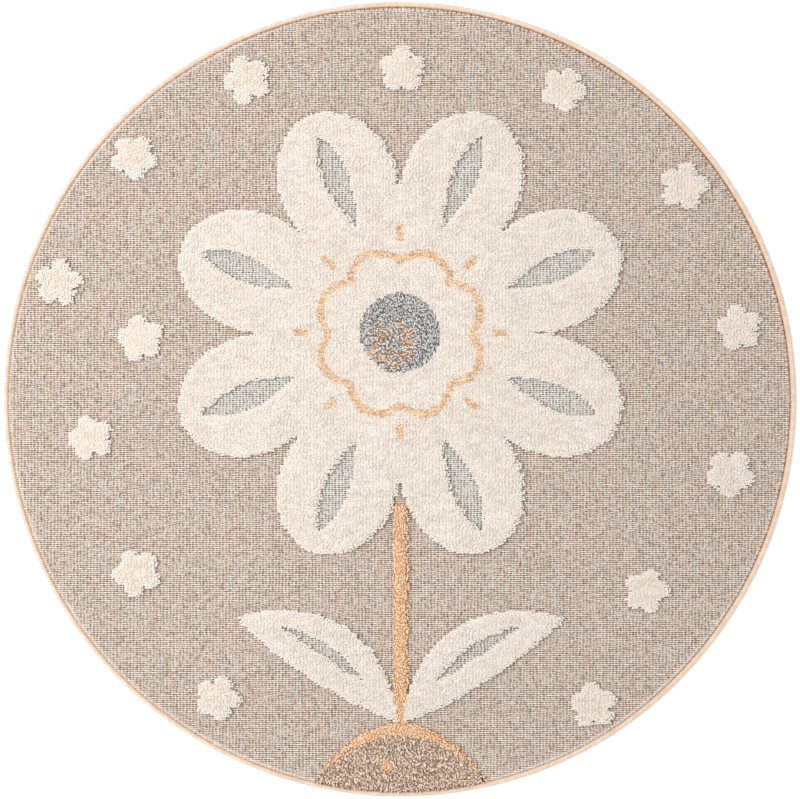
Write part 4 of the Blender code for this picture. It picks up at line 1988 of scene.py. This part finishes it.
@dataclass(frozen=True)
class NeedleThread:
    """The thread that sews the binding on: a line of stitches along its inner edge, and a bar from each.

    The bars reach into the cloth, furthest where the binding is widest. A stitch's four rings lie along it
    at the shares in along, and rise gives the height of each between low and high.
    """

    edge: EdgeLine
    stitches: int = 530
    stray: float = 0.07
    thin_half: float = 0.00042
    thick_half: float = 0.00090
    tuck: float = 0.0007
    line_share: float = 0.90
    bar_short: float = 0.0020
    bar_long: float = 0.0064
    bar_spread: tuple[float, float] = (0.6, 1.15)
    bar_slant: float = 0.0012
    slant_spread: tuple[float, float] = (0.4, 1.6)
    low: float = 0.0044
    high: float = 0.0056
    sides: int = 4
    along: tuple[float, ...] = (0.0, 0.22, 0.74, 1.0)
    rise: tuple[float, ...] = (0.0, 1.0, 0.9, 0.0)
    seed: int = 71

    def place(self, angle: Array, inside: Array) -> Array:
        """The places that lie some way inside the binding's inner edge, at some angles."""
        reach = self.edge.radius(angle) - self.edge.binding_width(angle) - inside
        return np.column_stack((reach * np.cos(angle), reach * np.sin(angle))) - self.edge.centre()

    def ends(self) -> tuple[Array, Array]:
        """Where each stitch of the line and each bar starts and ends.

        Returns:
            X and Y of every start, and of every end: the line's stitches, then the bars.
        """
        rng = np.random.default_rng(self.seed)
        pitch = 2 * np.pi / self.stitches
        angle = pitch * (np.arange(self.stitches) + rng.normal(0.0, self.stray, self.stitches))
        length = self.bar_short + (self.bar_long - self.bar_short) * self.edge.wide_side(angle)
        length = length * rng.uniform(*self.bar_spread, self.stitches)
        slant = self.bar_slant / self.edge.diameter * 2 * rng.uniform(*self.slant_spread, self.stitches)
        tuck = np.full(self.stitches, self.tuck)
        line = self.place(angle, tuck), self.place(angle + self.line_share * pitch, tuck)
        bars = self.place(angle, -tuck), self.place(angle + slant, length)
        return np.concatenate((line[0], bars[0])), np.concatenate((line[1], bars[1]))

    def surface(self) -> Surface:
        """A four-sided tube for each stitch, carried straight from its start to its end.

        A tube has four rings. The two in the middle lie on the cloth, and the end ones dip into it. Each
        ring is the tube's half width times the cosine across and the sine up.

        Returns:
            The closed tubes. Each has its own square in the bake map.
        """
        start, end = self.ends()
        count, rings, sides = len(start), len(self.along), self.sides
        along, rise = np.array(self.along), np.array(self.rise)
        run = end - start
        middle = start + self.edge.centre()
        wide = self.edge.wide_side(np.arctan2(middle[:, 1], middle[:, 0]))
        half = self.thin_half + (self.thick_half - self.thin_half) * wide
        across = np.column_stack((-run[:, 1], run[:, 0])) / np.linalg.norm(run, axis=1)[:, None]
        turn = 2 * np.pi * (np.arange(sides) + 0.5) / sides
        flat = start[:, None, None] + along[None, :, None, None] * run[:, None, None]
        flat = flat + half[:, None, None, None] * np.cos(turn)[None, None, :, None] * across[:, None, None]
        lift = half[:, None, None] * np.sin(turn)[None, None, :]
        up = self.low + (self.high - self.low) * rise[None, :, None] + lift
        up = np.broadcast_to(up[..., None], (*flat.shape[:3], 1))
        points = np.concatenate((flat, up), axis=3).reshape(-1, 3)
        last = (rings - 1) * sides
        walls, corners = tube_faces(rings, sides)
        caps = np.array(((3, 2, 1, 0), (last, last + 1, last + 2, last + 3)))
        one = triangles_of(np.concatenate((walls, caps)))
        faces = (one[None] + (rings * sides * np.arange(count))[:, None, None]).reshape(-1, 3)
        cap = np.array(((0.80, 0.05), (0.95, 0.05), (0.95, 0.20), (0.80, 0.20)))
        square = np.concatenate((corners / (rings, sides), (cap, cap + (0.0, 0.4))))
        square = triangles_of(square).reshape(-1, 2)
        grid = math.ceil(math.sqrt(count))
        corner = np.column_stack((np.arange(count) % grid, np.arange(count) // grid))
        bake = ((corner[:, None] + 0.05 + 0.9 * square[None]) / grid).reshape(-1, 2)
        return Surface(points, faces, bake)

    def piece(self, material: Material) -> Piece:
        """The thread, which lies on the binding's inner edge."""
        thread = new_piece("needle_thread", self.surface(), material)
        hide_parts("edge_binding")
        return thread


@dataclass(frozen=True)
class Studio:
    """A white floor, soft light from the upper left, and a camera straight above the rug."""

    field_width: float = 1.2094
    lens: float = 90.0
    sensor: float = 36.0
    centre: tuple[float, float] = (0.0003, -0.0007)
    face_height: float = 0.006
    floor_half: float = 12.0
    floor_drop: float = 0.0002
    floor_colour: Colour = (0.90, 0.90, 0.90)
    floor_glow: float = 0.15
    surround_colour: Colour = (1.0, 0.995, 0.985)
    surround_strength: float = 0.80
    softbox_place: tuple[float, float, float] = (-1.45, 0.40, 3.00)
    softbox_size: float = 1.3
    softbox_power: float = 62.0
    softbox_colour: Colour = (1.0, 0.985, 0.965)

    def floor(self) -> None:
        """A wide white floor, lit evenly, and a hair below the rug."""
        side = self.floor_half
        mesh = bpy.data.meshes.new("floor")
        corners = [(-side, -side, 0.0), (side, -side, 0.0), (side, side, 0.0), (-side, side, 0.0)]
        mesh.from_pydata(corners, [], [(0, 1, 2, 3)])
        material = bpy.data.materials.new("white_floor")
        material.use_nodes = True
        shader = material.node_tree.nodes["Principled BSDF"]
        shader.inputs["Base Color"].default_value = (*self.floor_colour, 1.0)
        shader.inputs["Roughness"].default_value = 0.9
        shader.inputs["Specular IOR Level"].default_value = 0.1
        shader.inputs["Emission Color"].default_value = (*WHITE, 1.0)
        shader.inputs["Emission Strength"].default_value = self.floor_glow
        mesh.materials.append(material)
        ground = bpy.data.objects.new("floor", mesh)
        ground.location = (0.0, 0.0, -self.floor_drop)
        bpy.context.scene.collection.objects.link(ground)

    def lights(self) -> None:
        """An even white surround, and a broad sun from the upper left."""
        world = bpy.data.worlds.new("studio")
        world.use_nodes = True
        background = world.node_tree.nodes["Background"]
        background.inputs["Color"].default_value = (*self.surround_colour, 1.0)
        background.inputs["Strength"].default_value = self.surround_strength
        bpy.context.scene.world = world
        data = bpy.data.lights.new("softbox", "AREA")
        data.shape = "DISK"
        data.size = self.softbox_size
        data.energy = self.softbox_power
        data.color = self.softbox_colour
        softbox = bpy.data.objects.new("softbox", data)
        softbox.location = self.softbox_place
        softbox.rotation_euler = (-Vector(self.softbox_place)).to_track_quat("-Z", "Y").to_euler()
        softbox.visible_camera = False
        bpy.context.scene.collection.objects.link(softbox)

    def camera(self) -> None:
        """Looks straight down, with the picture's top up, and takes in field_width at the rug's face."""
        data = bpy.data.cameras.new("camera")
        data.lens = self.lens
        data.sensor_width = self.sensor
        data.clip_end = 100.0
        distance = self.field_width * self.lens / self.sensor
        camera = bpy.data.objects.new("camera", data)
        camera.location = (*self.centre, distance + self.face_height)
        bpy.context.scene.collection.objects.link(camera)
        bpy.context.scene.camera = camera
        bpy.context.scene.view_settings.view_transform = "Standard"


def main() -> None:
    """Builds the rug from its backing up, dresses it, and sets the studio round it."""
    logging.basicConfig(level=logging.INFO, format="%(name)s %(message)s")
    edge, picture, loom = EdgeLine(), Picture(), Loom()
    groups = Groups.made()
    cloth = Cloth.planned(loom, edge, picture)
    flat = {look: look.value.material(groups) for look in Flat}
    piled = {look: look.value.material(groups) for look in Nap}
    backing = new_piece("backing_cloth", Backing(edge).surface(), BackingFinish().material(groups))
    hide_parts("rug_body")
    weave = FlatWeave(cloth).pieces(flat)
    pile = CutPile(cloth).pieces(picture, piled)
    binding = OverlockEdge(edge).piece(OverlockFinish().material(groups))
    thread = NeedleThread(edge).piece(ThreadFinish().material(groups))
    studio = Studio()
    studio.floor()
    studio.lights()
    studio.camera()


if __name__ == "__main__":
    main()
